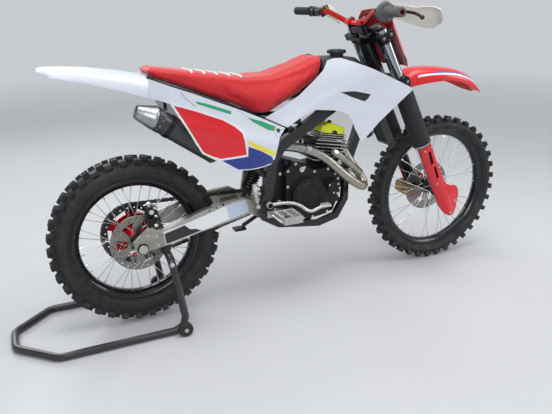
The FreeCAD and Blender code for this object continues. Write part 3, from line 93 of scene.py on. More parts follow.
class Shade:
    """A material under construction, with short calls for its nodes."""

    def __init__(self, name, colour, rough, metal=0.0):
        """Start from a plain colour, roughness and metallic value."""
        self.material = bpy.data.materials.new(name)
        self.material.use_nodes = True
        self.tree = self.material.node_tree
        self.base = self.tree.nodes["Principled BSDF"]
        self.base.inputs["Metallic"].default_value = metal
        self.base.inputs["Roughness"].default_value = rough
        self.base.inputs["Base Color"].default_value = (*colour, 1)
        self.colour = colour
        self.coords = self.add("ShaderNodeTexCoord").outputs["Object"]

    def add(self, kind, **values):
        """Add a node and set its options."""
        node = self.tree.nodes.new(kind)
        for key, value in values.items():
            setattr(node, key, value)
        return node

    def link(self, start, end):
        """Join two sockets."""
        self.tree.links.new(start, end)

    def noise(self, scale, detail=4.0, stretch=None):
        """Cloudy pattern from 0 to 1, stretched along an axis if asked."""
        node = self.add("ShaderNodeTexNoise")
        node.inputs["Scale"].default_value = scale
        node.inputs["Detail"].default_value = detail
        place = self.coords
        if stretch:
            mapping = self.add("ShaderNodeMapping")
            mapping.inputs["Scale"].default_value = stretch
            self.link(place, mapping.inputs["Vector"])
            place = mapping.outputs["Vector"]
        self.link(place, node.inputs["Vector"])
        return node.outputs["Fac"]

    def spread(self, value, low, high, start=0.3, end=0.7):
        """Map a pattern between start and end onto low to high."""
        node = self.add("ShaderNodeMapRange")
        node.inputs["From Min"].default_value = start
        node.inputs["From Max"].default_value = end
        node.inputs["To Min"].default_value = low
        node.inputs["To Max"].default_value = high
        self.link(value, node.inputs["Value"])
        return node.outputs["Result"]

    def blend(self, factor, first, second):
        """Mix two colours or colour sockets."""
        node = self.add("ShaderNodeMix", data_type="RGBA")
        for socket, value in (("A", first), ("B", second)):
            target = next(i for i in node.inputs if i.name == socket and i.type == "RGBA")
            if isinstance(value, (tuple, list)):
                target.default_value = (*value[:3], 1)
            else:
                self.link(value, target)
        self.link(factor, node.inputs["Factor"])
        return next(o for o in node.outputs if o.type == "RGBA")

    def tint(self, factor, other):
        """Let a second colour show where the factor is high."""
        self.link(self.blend(factor, self.colour, other), self.base.inputs["Base Color"])
        return self

    def roughen(self, value, low, high):
        """Vary the roughness with a pattern."""
        self.link(self.spread(value, low, high), self.base.inputs["Roughness"])
        return self

    def bump(self, value, strength, depth=0.001):
        """Raise the surface with a pattern."""
        node = self.add("ShaderNodeBump")
        node.inputs["Strength"].default_value = strength
        node.inputs["Distance"].default_value = depth
        self.link(value, node.inputs["Height"])
        self.link(node.outputs["Normal"], self.base.inputs["Normal"])
        return self


def moulded(name, colour, rough=0.28, coat=0.35):
    """Glossy moulded plastic with faint flow marks and fine scuffs."""
    shade = Shade(name, colour, rough)
    shade.base.inputs["Coat Weight"].default_value = coat
    shade.base.inputs["Coat Roughness"].default_value = 0.12
    dull = tuple(channel * 0.86 for channel in colour)
    shade.tint(shade.spread(shade.noise(9), 0.0, 0.5), dull)
    shade.roughen(shade.noise(140, 6, (1, 1, 6)), rough * 0.8, rough * 1.35)
    shade.bump(shade.noise(420, 3), 0.03, 0.0003)
    return shade.material


def matt(name, colour, rough=0.6, grain=700, depth=0.25):
    """Grained black plastic."""
    shade = Shade(name, colour, rough)
    shade.tint(shade.spread(shade.noise(30), 0, 0.6), tuple(c * 1.5 + 0.004 for c in colour))
    shade.roughen(shade.noise(60, 5), rough * 0.85, min(1, rough * 1.2))
    shade.bump(shade.noise(grain, 4), depth, 0.0005)
    return shade.material


def tyre_rubber(name):
    """Tread rubber with dust in its lows."""
    shade = Shade(name, (0.009, 0.009, 0.0095), 0.6)
    shade.tint(shade.spread(shade.noise(45, 8), 0, 0.5, 0.48, 0.78), (0.045, 0.041, 0.036))
    shade.roughen(shade.noise(25, 6), 0.42, 0.82)
    shade.bump(shade.noise(420, 6), 0.35, 0.0008)
    return shade.material


def metal(name, colour, rough=0.3, grain=(1, 1, 1), wear=0.25, coat=0.0):
    """Bare or anodised metal with drawn grain and handling marks."""
    shade = Shade(name, colour, rough, 1.0)
    shade.base.inputs["Coat Weight"].default_value = coat
    shade.tint(shade.spread(shade.noise(22, 6), 0, wear), tuple(c * 0.45 for c in colour))
    shade.roughen(shade.noise(180, 6, grain), rough * 0.7, rough * 1.5)
    shade.bump(shade.noise(600, 3, grain), 0.08, 0.0003)
    return shade.material


def casting(name, colour, rough=0.45, metallic=0.0):
    """Sand-cast surface under a thin coating."""
    shade = Shade(name, colour, rough, metallic)
    shade.base.inputs["Specular IOR Level"].default_value = 0.3
    shade.tint(shade.spread(shade.noise(35, 6), 0, 0.7), tuple(c * 1.6 + 0.003 for c in colour))
    shade.roughen(shade.noise(80, 6), rough * 0.8, rough * 1.4)
    shade.bump(shade.noise(850, 5), 0.3, 0.0006)
    return shade.material


def painted(name, colour, rough=0.25, coat=0.5):
    """Powder coat with slight orange peel."""
    shade = Shade(name, colour, rough)
    shade.base.inputs["Coat Weight"].default_value = coat
    shade.base.inputs["Coat Roughness"].default_value = 0.2
    shade.base.inputs["Specular IOR Level"].default_value = 0.35
    shade.tint(shade.spread(shade.noise(18, 5), 0, 0.5), tuple(c * 1.5 + 0.004 for c in colour))
    shade.roughen(shade.noise(90, 5), rough * 0.8, rough * 1.5)
    shade.bump(shade.noise(380, 2), 0.12, 0.0004)
    return shade.material


def seat_cover(name, colour):
    """Gripper vinyl with a fine woven emboss."""
    shade = Shade(name, colour, 0.62)
    shade.base.inputs["Sheen Weight"].default_value = 0.25
    shade.base.inputs["Sheen Roughness"].default_value = 0.5
    shade.tint(shade.spread(shade.noise(14, 6), 0, 0.45), tuple(c * 0.72 for c in colour))
    shade.roughen(shade.noise(70, 6), 0.5, 0.75)
    weave = shade.add("ShaderNodeTexVoronoi")
    weave.inputs["Scale"].default_value = 620
    shade.link(shade.coords, weave.inputs["Vector"])
    shade.bump(weave.outputs["Distance"], 0.35, 0.0007)
    return shade.material


def heated_steel(name):
    """Satin header steel with a faint straw tint at its front."""
    shade = Shade(name, (0.34, 0.33, 0.30), 0.34, 1.0)
    split = shade.add("ShaderNodeSeparateXYZ")
    shade.link(shade.coords, split.inputs["Vector"])
    near = shade.spread(split.outputs["X"], 0, 1, BACK + 0.72, BACK + 1.0)
    straw = shade.blend(near, (0.36, 0.36, 0.345), (0.37, 0.33, 0.25))
    patches = shade.spread(shade.noise(16, 4), 0, 0.4, 0.5, 0.7)
    shade.link(shade.blend(patches, straw, (0.20, 0.20, 0.21)),
               shade.base.inputs["Base Color"])
    shade.roughen(shade.noise(90, 6), 0.26, 0.46)
    shade.bump(shade.noise(300, 4), 0.08, 0.0004)
    return shade.material


MATERIALS = {}


def make_materials():
    """Create every finish once."""
    MATERIALS.update({
        "tyre": tyre_rubber("tread rubber"),
        "rubber": matt("soft rubber", (0.014, 0.014, 0.015), 0.7, 500),
        "black": matt("black plastic", (0.016, 0.016, 0.018), 0.45),
        "white": moulded("white plastic", (0.70, 0.74, 0.82)),
        "pure_white": moulded("white film", (0.80, 0.81, 0.83)),
        "red": moulded("red plastic", (0.70, 0.008, 0.016)),
        # Darker copy of the red plastic: painted shade for the number plate's back faces
        "red_in_painted_shade": moulded("red plastic in painted shade", (0.34, 0.006, 0.014), 0.4),
        "blue": moulded("dark blue plastic", (0.012, 0.03, 0.24)),
        "light_blue": moulded("light blue stripe", (0.02, 0.12, 0.55)),
        "green": moulded("green stripe", (0.02, 0.36, 0.16)),
        "yellow": moulded("yellow stripe", (0.82, 0.72, 0.03)),
        "cam": painted("bright yellow coating", (0.70, 0.78, 0.015), 0.4, 0.2),
        "seat": seat_cover("red seat cover", (0.60, 0.006, 0.012)),
        "seat_rib": seat_cover("white seat rib", (0.78, 0.76, 0.74)),
        "frame": painted("black frame paint", (0.009, 0.009, 0.010), 0.26),
        "stand": painted("black stand paint", (0.012, 0.012, 0.013), 0.32),
        "engine": casting("black engine casting", (0.006, 0.006, 0.007), 0.34),
        "tail_steel": metal("brushed tail steel", (0.40, 0.41, 0.42), 0.3, (1, 1, 1), 0.3),
        "fin_core": casting("radiator core", (0.012, 0.012, 0.012), 0.6),
        "fins": casting("bright fin edges", (0.42, 0.42, 0.40), 0.32, 0.9),
        "header": heated_steel("header steel"),
        "silencer": painted("black silencer coat", (0.022, 0.022, 0.024), 0.38),
        "cast_alloy": casting("cast alloy", (0.50, 0.50, 0.49), 0.38, 0.85),
        "polished": metal("polished steel", (0.72, 0.71, 0.69), 0.14),
        "steel": metal("plated steel", (0.55, 0.54, 0.52), 0.26),
        "spoke": metal("spoke steel", (0.70, 0.70, 0.69), 0.2),
        "rim": metal("black anodised rim", (0.03, 0.03, 0.033), 0.28, (1, 1, 1), 0.1, 0.4),
        "black_metal": metal("black anodised part", (0.035, 0.035, 0.038), 0.34),
        "hub_red": metal("red anodised hub", (0.52, 0.012, 0.02), 0.26),
        "bar": metal("red anodised bar", (0.72, 0.035, 0.02), 0.26),
        "gold": metal("gold caliper coat", (0.30, 0.22, 0.09), 0.36),
        "disc": metal("ground disc steel", (0.27, 0.255, 0.24), 0.3, (8, 1, 8)),
        "chain": metal("oiled chain steel", (0.10, 0.095, 0.09), 0.34, (1, 1, 1), 0.6),
        "fork_tube": metal("satin fork tube", (0.40, 0.42, 0.45), 0.2, (1, 1, 1), 0.15, 0.3),
        "arm": casting("satin swingarm", (0.34, 0.34, 0.315), 0.42, 0.85),
        "khaki_cast": casting("cast axle end", (0.27, 0.27, 0.235), 0.42, 0.7),
        "pale_blue": moulded("pale blue film", (0.50, 0.60, 0.72)),
        "cream": moulded("cream plastic", (0.74, 0.72, 0.64)),
        "grip": matt("grey grip rubber", (0.075, 0.075, 0.073), 0.62, 420),
        "lever": metal("dark lever coat", (0.07, 0.062, 0.05), 0.32),
    })


# Mesh helpers


def new_object(name, bm, finish, body, sharp=35.0, recalc=True):
    """Store a bmesh as a named piece with a finish, shaded smooth up to an angle."""
    bmesh.ops.remove_doubles(bm, verts=bm.verts[:], dist=1e-6)
    if recalc:
        bmesh.ops.recalc_face_normals(bm, faces=bm.faces[:])
    mesh = bpy.data.meshes.new(name)
    bm.to_mesh(mesh)
    bm.free()
    mesh.polygons.foreach_set("use_smooth", [True] * len(mesh.polygons))
    mesh.set_sharp_from_angle(angle=math.radians(sharp))
    for one in ([finish] if isinstance(finish, str) else finish):
        mesh.materials.append(MATERIALS[one])
    piece = bpy.data.objects.new(name, mesh)
    bpy.context.scene.collection.objects.link(piece)
    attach(piece, body)
    return piece


def soften(piece, width, segments=2, angle=30.0):
    """Round the piece's sharp edges a little."""
    bevel = piece.modifiers.new("edge", "BEVEL")
    bevel.width = width
    bevel.segments = segments
    bevel.limit_method = "ANGLE"
    bevel.angle_limit = math.radians(angle)
    bevel.harden_normals = True
    return piece


def copy_of(node):
    """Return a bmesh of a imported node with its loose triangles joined."""
    bm = bmesh.new()
    bm.from_mesh(frame["nodes"][node].data)
    bmesh.ops.remove_doubles(bm, verts=bm.verts[:], dist=1e-5)
    return bm


def dress(node, finish, edge, sharp=35.0):
    """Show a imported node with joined, softened edges and a finish."""
    bm = copy_of(node)
    bmesh.ops.dissolve_limit(bm, angle_limit=0.01, verts=bm.verts[:], edges=bm.edges[:],
                             use_dissolve_boundaries=False)
    piece = new_object(node + "_look", bm, finish, BODY_OF[node], sharp, False)
    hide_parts(node)
    if edge:
        soften(piece, edge)
    return piece


def finished(name, bm, finish, node, sharp=35.0):
    """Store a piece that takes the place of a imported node."""
    piece = fitted(name, bm, finish, node, sharp)
    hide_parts(node)
    return piece


def fitted(name, bm, finish, node, sharp=40.0):
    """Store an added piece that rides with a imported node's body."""
    piece = new_object(name, bm, finish, BODY_OF[node], sharp)
    return piece


def add_mesh(bm, other):
    """Move everything of one bmesh into another."""
    mesh = bpy.data.meshes.new("part")
    other.to_mesh(mesh)
    other.free()
    bm.from_mesh(mesh)
    bpy.data.meshes.remove(mesh)


def apply_modifiers(piece):
    """Keep a piece's evaluated mesh and drop its modifiers."""
    graph = bpy.context.evaluated_depsgraph_get()
    old = piece.data
    piece.data = bpy.data.meshes.new_from_object(piece.evaluated_get(graph))
    piece.modifiers.clear()
    bpy.data.meshes.remove(old)


def spin(bm, outline, centre, steps):
    """Turn a closed outline, given as radius and place along the Y axis, into a ring."""
    verts = [bm.verts.new(centre + Vector((radius, along, 0))) for radius, along in outline]
    edges = [bm.edges.new((verts[index - 1], verts[index])) for index in range(len(verts))]
    bmesh.ops.spin(bm, geom=verts + edges, cent=centre, axis=LEFT, angle=math.tau,
                   steps=steps, use_merge=True)


def mirror_outline(half):
    """Complete a half outline of radius and place with its mirror image."""
    return half + [(radius, -along) for radius, along in half[::-1] if along > 1e-6]


def lathe(bm, outline, foot, head, steps=40):
    """Turn an outline of radius and distance along the line from foot to head, in metres."""
    axis = (head - foot).normalized()
    side = axis.orthogonal().normalized()
    verts = [bm.verts.new(foot + axis * along + side * radius) for radius, along in outline]
    edges = [bm.edges.new(pair) for pair in zip(verts, verts[1:])]
    bmesh.ops.spin(bm, geom=verts + edges, cent=foot, axis=axis, angle=math.tau, steps=steps,
                   use_merge=True)
    bmesh.ops.remove_doubles(bm, verts=bm.verts[:], dist=1e-5)


def ring_on(bm, outline, place, heading, steps=40):
    """Closed ring turned about a line, from pairs of radius and distance in millimetres."""
    closed = outline + outline[:1]
    lathe(bm, [(radius / 1000, along / 1000) for radius, along in closed], place,
          place + heading, steps)


def pipe(name, route, radius, finish, body):
    """Smooth bent tube that follows a route's corners."""
    curve = bpy.data.curves.new(name, "CURVE")
    curve.dimensions = "3D"
    curve.bevel_depth = radius
    curve.bevel_resolution = 6
    curve.use_fill_caps = True
    line = curve.splines.new("NURBS")
    line.points.add(len(route) - 1)
    for spot, place in zip(line.points, route):
        spot.co = (*place, 1)
    line.order_u = 3
    line.use_endpoint_u = True
    line.resolution_u = 8
    curve.materials.append(MATERIALS[finish])
    piece = bpy.data.objects.new(name, curve)
    bpy.context.scene.collection.objects.link(piece)
    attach(piece, body)
    return piece


def block(bm, low, high, grow, bevel):
    """Box between two corners whose upper end (larger X) is smaller by a margin."""
    made = bmesh.ops.create_cube(bm, size=1)["verts"]
    middle = (low + high) / 2
    size = high - low
    for vert in made:
        edge = 1 - grow if vert.co.x > 0 else 1
        vert.co = middle + Vector((vert.co.x * size.x, vert.co.y * size.y * edge,
                                   vert.co.z * size.z * edge))
    edges = list({edge for vert in made for edge in vert.link_edges})
    bmesh.ops.bevel(bm, geom=made + edges, offset=bevel, segments=1, profile=0.5,
                    affect="EDGES", material=-1)


def rod(bm, start, end, radius, sides=12, far=None):
    """Round bar between two points, tapered when a far radius is given."""
    along = end - start
    turn = along.to_track_quat("Z", "Y").to_matrix().to_4x4()
    place = Matrix.Translation((start + end) / 2) @ turn
    return bmesh.ops.create_cone(bm, cap_ends=True, segments=sides, radius1=radius,
                                 radius2=radius if far is None else far,
                                 depth=along.length, matrix=place)["verts"]


def bolt(bm, place, facing, radius=0.005, height=0.004):
    """Six-sided bolt head on a thin round flange."""
    facing = facing.normalized()
    rod(bm, place - facing * 0.001, place + facing * 0.0012, radius * 1.25, 14)
    rod(bm, place, place + facing * height, radius, 6, radius * 0.94)


def ring_places(centre, radius, level, count, turn=0.0):
    """Places spaced evenly on a circle across the Y axis."""
    return [centre + Vector((radius * math.cos(turn + math.tau * index / count), level,
                             radius * math.sin(turn + math.tau * index / count)))
            for index in range(count)]


def through(table, value):
    """Smooth curve through pairs of place and height, flat beyond its ends."""
    if value <= table[0][0]:
        return table[0][1]
    if value >= table[-1][0]:
        return table[-1][1]
    index = next(i for i in range(len(table) - 1) if value <= table[i + 1][0])
    (x0, y0), (x1, y1) = table[index], table[index + 1]
    before = table[index - 1] if index else table[index]
    after = table[index + 2] if index + 2 < len(table) else table[index + 1]
    start = (y1 - before[1]) / (x1 - before[0])
    stop = (after[1] - y0) / (after[0] - x0)
    share, span = (value - x0) / (x1 - x0), x1 - x0
    square, cube = share ** 2, share ** 3
    return ((2 * cube - 3 * square + 1) * y0 + (cube - 2 * square + share) * span * start
            + (3 * square - 2 * cube) * y1 + (cube - square) * span * stop)


def within(outline, x, z):
    """Tell whether a place lies inside a closed outline."""
    odd = False
    for index in range(len(outline)):
        (x0, z0), (x1, z1) = outline[index - 1], outline[index]
        if (z0 > z) != (z1 > z) and x < (x1 - x0) * (z - z0) / (z1 - z0) + x0:
            odd = not odd
    return odd


def flat_outline(bm, outline):
    """Filled outline in the bike's upright plane, cut out of one face."""
    verts = [bm.verts.new(at(x, 0, z)) for x, z in outline]
    return bm.faces.new(verts)


def slice_grid(bm, spacing):
    """Cut a flat outline at even steps both ways, so that it can be curved."""
    for axis, place in ((AHEAD, 0), (UP, 2)):
        levels = [vert.co[place] for vert in bm.verts]
        level = math.floor(min(levels) / spacing) * spacing
        while level < max(levels):
            level += spacing
            spot = Vector((0, 0, 0))
            spot[place] = level
            bmesh.ops.bisect_plane(bm, geom=bm.verts[:] + bm.edges[:] + bm.faces[:],
                                   plane_co=spot, plane_no=axis, dist=1e-5)


def curve_out(bm, level_of, side, lift=0.0):
    """Move a flat outline out to a cover's face on one side of the bike."""
    for vert in bm.verts:
        x, z = (vert.co.x - BACK) * 1000, vert.co.z * 1000
        vert.co.y = side * (level_of(x, z) / 1000 + lift)


def face_away(bm, outward):
    """Turn a thin sheet's faces towards a direction, before it is made thick."""
    bmesh.ops.recalc_face_normals(bm, faces=bm.faces[:])
    total = sum((face.normal * face.calc_area() for face in bm.faces), Vector())
    if total.dot(outward) < 0:
        bmesh.ops.reverse_faces(bm, faces=bm.faces[:])


def curved_sheet(outline, level_of, side, spacing, lift=0.0):
    """Outline cut into a grid, moved out to a cover's face and pointing away from the bike."""
    bm = bmesh.new()
    flat_outline(bm, outline)
    slice_grid(bm, spacing)
    curve_out(bm, level_of, side, lift)
    face_away(bm, Vector((0, side, 0)))
    return bm


def cut_hole(bm, hole):
    """Cut an outline through a skin by slicing along its sides and deleting the inside."""
    count = len(hole)
    middle = Vector((sum(x for x, z in hole) / count, sum(z for x, z in hole) / count))
    for index in range(count):
        start, stop = Vector(hole[index - 1]), Vector(hole[index])
        along = stop - start
        away = Vector((along.y, -along.x)).normalized()
        near = [face for face in bm.faces if abs((face.calc_center_median().x - BACK) * 1000
                                                 - middle.x) < 90
                and abs(face.calc_center_median().z * 1000 - middle.y) < 50]
        edges = {edge for face in near for edge in face.edges}
        verts = {vert for face in near for vert in face.verts}
        bmesh.ops.bisect_plane(bm, geom=list(verts) + list(edges) + near,
                               plane_co=at(start.x, 0, start.y), dist=1e-5,
                               plane_no=Vector((away.x, 0, away.y)))
    inside = [face for face in bm.faces
              if within(hole, (face.calc_center_median().x - BACK) * 1000,
                        face.calc_center_median().z * 1000)]
    bmesh.ops.delete(bm, geom=inside, context="FACES")


def paired_sheets(outline, holes, level_of, spacing, lift, thick):
    """The same curved sheet, made thick, on both sides of the bike."""
    bm = bmesh.new()
    for side in (1, -1):
        one = curved_sheet(outline, level_of, side, spacing, lift)
        for hole in holes:
            cut_hole(one, hole)
        bmesh.ops.solidify(one, geom=one.faces[:], thickness=thick)
        add_mesh(bm, one)
    return bm


def sheet(outline, holes, spacing):
    """Flat filled outline in the XZ plane with windows, cut into a grid, in metres."""
    bm = bmesh.new()
    bm.faces.new([bm.verts.new((u / 1000, 0, v / 1000)) for u, v in outline])
    slice_grid(bm, spacing)
    for hole in holes:
        for index in range(len(hole)):
            (u0, v0), (u1, v1) = hole[index - 1], hole[index]
            away = Vector((v1 - v0, 0, u0 - u1)).normalized()
            bmesh.ops.bisect_plane(bm, geom=bm.verts[:] + bm.edges[:] + bm.faces[:],
                                   plane_co=(u0 / 1000, 0, v0 / 1000), plane_no=away,
                                   dist=1e-5)
        inside = [face for face in bm.faces
                  if within(hole, face.calc_center_median().x * 1000,
                            face.calc_center_median().z * 1000)]
        bmesh.ops.delete(bm, geom=inside, context="FACES")
    return bm


# Settings shown in the sidebar


class StageSettings(bpy.types.PropertyGroup):
    """Floor, light and camera."""
    floor_colour: bpy.props.FloatVectorProperty(
        name="Floor colour", description="Plain colour of the floor", subtype="COLOR",
        default=(0.62, 0.63, 0.65), min=0, max=1)
    floor_size: bpy.props.FloatProperty(
        name="Floor size", description="Side of the square floor", unit="LENGTH", default=40.0)
    lens: bpy.props.FloatProperty(
        name="Lens", description="Focal length on a 36 mm frame, in millimetres", default=38.29)


class MOTO_OT_stage(bpy.types.Operator):
    """Lay the floor, place the camera and set the lamps"""
    bl_idname = "moto.stage"
    bl_label = "Stage"

    def execute(self, context):
        settings = context.scene.moto_stage
        place_camera(settings)
        lay_floor(settings)
        hang_lamps()
        return {"FINISHED"}


def place_camera(settings):
    """Stand the camera where the photographer stood."""
    yaw, pitch, roll = 0.42, 0.337, -0.016
    ahead = Vector((math.sin(yaw) * math.cos(pitch), math.cos(yaw) * math.cos(pitch),
                    -math.sin(pitch)))
    right = Vector((math.cos(yaw), -math.sin(yaw), 0))
    up = right.cross(ahead)
    cos, sin = math.cos(roll), math.sin(roll)
    right, up = right * cos + up * sin, up * cos - right * sin
    lens = bpy.data.cameras.new("camera")
    lens.lens = settings.lens
    lens.sensor_width = 36
    lens.sensor_fit = "HORIZONTAL"
    lens.shift_x = 0.0042
    lens.shift_y = 0.0022
    lens.clip_end = 200
    camera = bpy.data.objects.new("camera", lens)
    turn = Matrix((right, up, -ahead)).transposed().to_4x4()
    camera.matrix_world = Matrix.Translation((BACK - 0.376, -2.157, 1.199)) @ turn
    bpy.context.scene.collection.objects.link(camera)
    bpy.context.scene.camera = camera


def lay_floor(settings):
    """Plain floor that runs out past the horizon."""
    bm = bmesh.new()
    bmesh.ops.create_grid(bm, x_segments=1, y_segments=1, size=settings.floor_size / 2)
    mesh = bpy.data.meshes.new("floor")
    bm.to_mesh(mesh)
    bm.free()
    shade = Shade("floor paint", tuple(settings.floor_colour), 0.5)
    shade.tint(shade.spread(shade.noise(1.5, 6), 0, 0.35),
               tuple(c * 0.93 for c in settings.floor_colour))
    shade.roughen(shade.noise(4, 6), 0.42, 0.6)
    fade_out(shade)
    mesh.materials.append(shade.material)
    floor = bpy.data.objects.new("floor", mesh)
    bpy.context.scene.collection.objects.link(floor)


def fade_out(shade):
    """Let the far floor take the surround's plain colour, so that no horizon shows."""
    far = shade.add("ShaderNodeVectorMath", operation="LENGTH")
    shade.link(shade.coords, far.inputs[0])
    path = shade.add("ShaderNodeLightPath")
    share = shade.add("ShaderNodeMath", operation="MULTIPLY")
    shade.link(shade.spread(far.outputs["Value"], 0, 1, 2.2, 9.0), share.inputs[0])
    shade.link(path.outputs["Is Camera Ray"], share.inputs[1])
    glow = shade.add("ShaderNodeEmission")
    glow.inputs["Color"].default_value = (0.93, 0.96, 1.0, 1)
    glow.inputs["Strength"].default_value = 0.62
    mix = shade.add("ShaderNodeMixShader")
    shade.link(share.outputs[0], mix.inputs[0])
    shade.link(shade.base.outputs[0], mix.inputs[1])
    shade.link(glow.outputs[0], mix.inputs[2])
    shade.link(mix.outputs[0], shade.tree.nodes["Material Output"].inputs["Surface"])


def hang_lamps():
    """Soft light from above and both sides, with a plain pale surround."""
    scene = bpy.context.scene
    scene.view_settings.view_transform = "Standard"
    for name, place, aim, wide, high, power in (
            ("overhead", (0.2, -0.4, 3.6), (0.1, 0, 0.5), 3.4, 2.2, 84),
            ("near side", (-1.6, -3.6, 2.3), (0.1, 0, 0.5), 2.2, 1.4, 47),
            ("front side", (3.4, -1.8, 2.0), (0.3, 0, 0.6), 1.4, 2.0, 40),
            ("far side", (-1.2, 3.4, 2.4), (0, 0, 0.6), 2.4, 1.4, 40)):
        lamp = bpy.data.lights.new(name, "AREA")
        lamp.shape = "RECTANGLE"
        lamp.size, lamp.size_y, lamp.energy = wide, high, power
        holder = bpy.data.objects.new(name, lamp)
        away = Vector(place) - Vector(aim)
        holder.matrix_world = (Matrix.Translation(place)
                               @ away.to_track_quat("Z", "Y").to_matrix().to_4x4())
        scene.collection.objects.link(holder)
    world = bpy.data.worlds.new("surround")
    scene.world = world
    world.use_nodes = True
    tree = world.node_tree
    back = tree.nodes["Background"]
    path = tree.nodes.new("ShaderNodeLightPath")
    seen = tree.nodes.new("ShaderNodeMath")
    seen.operation = "MAXIMUM"
    tree.links.new(path.outputs["Is Camera Ray"], seen.inputs[0])
    tree.links.new(path.outputs["Is Glossy Ray"], seen.inputs[1])
    amount = tree.nodes.new("ShaderNodeMapRange")
    amount.inputs["To Min"].default_value = 0.42
    amount.inputs["To Max"].default_value = 0.62
    tree.links.new(seen.outputs[0], amount.inputs["Value"])
    tree.links.new(amount.outputs["Result"], back.inputs["Strength"])
    back.inputs["Color"].default_value = (0.93, 0.96, 1.0, 1)


# Wheels


class WheelSettings(bpy.types.PropertyGroup):
    """Tyres, rims and spokes."""
    rows: bpy.props.IntProperty(
        name="Block rows", description="Rows of tread blocks round each tyre", default=36)
    block_edge: bpy.props.FloatProperty(
        name="Block edge", description="Width of the worn edge of a tread block",
        unit="LENGTH", default=0.0014)
    spoke_radius: bpy.props.FloatProperty(
        name="Spoke radius", description="Half the thickness of a spoke", unit="LENGTH",
        default=0.0015)
    steps: bpy.props.IntProperty(
        name="Steps", description="Flats round tyres and rims", default=108)


# Radii and half widths of the two wheels in metres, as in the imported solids
WHEELS = {
    "front": {"centre": FRONT_CENTRE, "tip": 0.346, "edge": 0.276, "bead": 0.024,
              "swell": 0.306, "swell_half": 0.040, "crown": 0.026, "knob": 0.012,
              "length": 0.025, "half": 0.016, "flare": 0.006, "inner": 0.256, "base": 0.014,
              "core": 0.021, "reach": 0.047, "left": 0.047, "flange": 0.034,
              "flange_y": 0.032, "bore": 0.0103},
    "rear": {"centre": REAR_CENTRE, "tip": 0.330, "edge": 0.238, "bead": 0.031,
             "swell": 0.276, "swell_half": 0.048, "crown": 0.034, "knob": 0.014,
             "length": 0.028, "half": 0.022, "flare": 0.004, "inner": 0.216, "base": 0.018,
             "core": 0.027, "reach": 0.047, "left": 0.061, "flange": 0.042,
             "flange_y": 0.034, "bore": 0.0113},
}


class MOTO_OT_wheels(bpy.types.Operator):
    """Model tyres with their blocks, rims, spokes, hubs, discs and the sprocket"""
    bl_idname = "moto.wheels"
    bl_label = "Wheels"

    def execute(self, context):
        settings = context.scene.moto_wheels
        for end in ("rear", "front"):
            wheel = WHEELS[end]
            model_tyre(end, wheel, settings)
            model_rim(end, wheel, settings)
            model_spokes(end, wheel, settings)
            model_hub(end, wheel)
            model_disc(end, wheel)
        model_sprocket()
        return {"FINISHED"}


def model_tyre(end, wheel, settings):
    """Rounded carcass with paired centre blocks, shoulder blocks and sidewall ribs."""
    bm = bmesh.new()
    crown = wheel["tip"] - wheel["knob"]
    edge, bead, swell, half = (wheel[key] for key in ("edge", "bead", "swell", "swell_half"))
    outline = [(edge + 0.001, bead - 0.006), (edge + 0.007, bead + 0.001),
               (edge + 0.012, bead + 0.007), (edge + 0.014, bead + 0.0064),
               (edge + 0.022, half - 0.003), (edge + 0.0235, half - 0.0042),
               (swell, half), (swell + (crown - swell) * 0.5, half * 0.93),
               (crown - 0.005, wheel["crown"]), (crown, wheel["crown"] * 0.55), (crown + 0.001, 0)]
    spin(bm, mirror_outline([(edge + 0.001, 0)] + outline), wheel["centre"], settings.steps)
    one = bmesh.new()
    root = crown - 0.005
    length, knob_half = wheel["length"] / 2, wheel["half"]
    for side in (1, -1):
        near, far = sorted((side * 0.002, side * knob_half))
        block(one, Vector((root, near, -length)), Vector((wheel["tip"], far, length)), 0.14,
              settings.block_edge)
    turned = math.pi / settings.rows
    for side in (1, -1):
        shoulder = bmesh.new()
        block(shoulder, Vector((-0.016, -0.009, -length)), Vector((0.010, 0.009, length)),
              0.16, settings.block_edge)
        lean = Matrix.Rotation(side * math.radians(46), 3, "Z")
        wall = wheel["tip"] - swell
        spot = Vector((swell + wall * 0.66, side * (half + wheel["crown"]) * 0.52, 0))
        bmesh.ops.transform(shoulder, matrix=Matrix.Translation(spot) @ lean.to_4x4(),
                            verts=shoulder.verts[:])
        bmesh.ops.rotate(shoulder, cent=(0, 0, 0), verts=shoulder.verts[:],
                         matrix=Matrix.Rotation(turned, 3, "Y"))
        add_mesh(one, shoulder)
    bmesh.ops.translate(one, verts=one.verts[:], vec=wheel["centre"])
    bmesh.ops.spin(one, geom=one.verts[:] + one.edges[:] + one.faces[:], cent=wheel["centre"],
                   axis=(0, 1, 0), angle=math.tau, steps=settings.rows, use_duplicate=True)
    add_mesh(bm, one)
    finished(end + "_tyre_look", bm, "tyre", end + "_tyre", 30)


def model_rim(end, wheel, settings):
    """Drop-centre rim with rolled edges, and its nipples."""
    bm = bmesh.new()
    edge, bead, inner, base = (wheel[key] for key in ("edge", "bead", "inner", "base"))
    half = [(inner, 0), (inner, base - 0.006), (inner + 0.004, base + 0.001),
            (edge - 0.008, bead - 0.003), (edge - 0.003, bead + 0.001),
            (edge + 0.006, bead + 0.0016), (edge + 0.008, bead + 0.0004),
            (edge + 0.006, bead - 0.0012), (edge - 0.001, bead - 0.003),
            (edge - 0.002, 0)]
    spin(bm, half + [(radius, -along) for radius, along in half[-2:0:-1]], wheel["centre"],
         settings.steps)
    finished(end + "_rim_look", bm, "rim", end + "_rim", 40)
    nipples = bmesh.new()
    for start, stop in spoke_lines(wheel):
        along = (stop - start).normalized()
        rod(nipples, stop - along * 0.010, stop + along * 0.002, 0.0029, 8)
    fitted(end + "_nipples", nipples, "polished", end + "_spokes", 35)


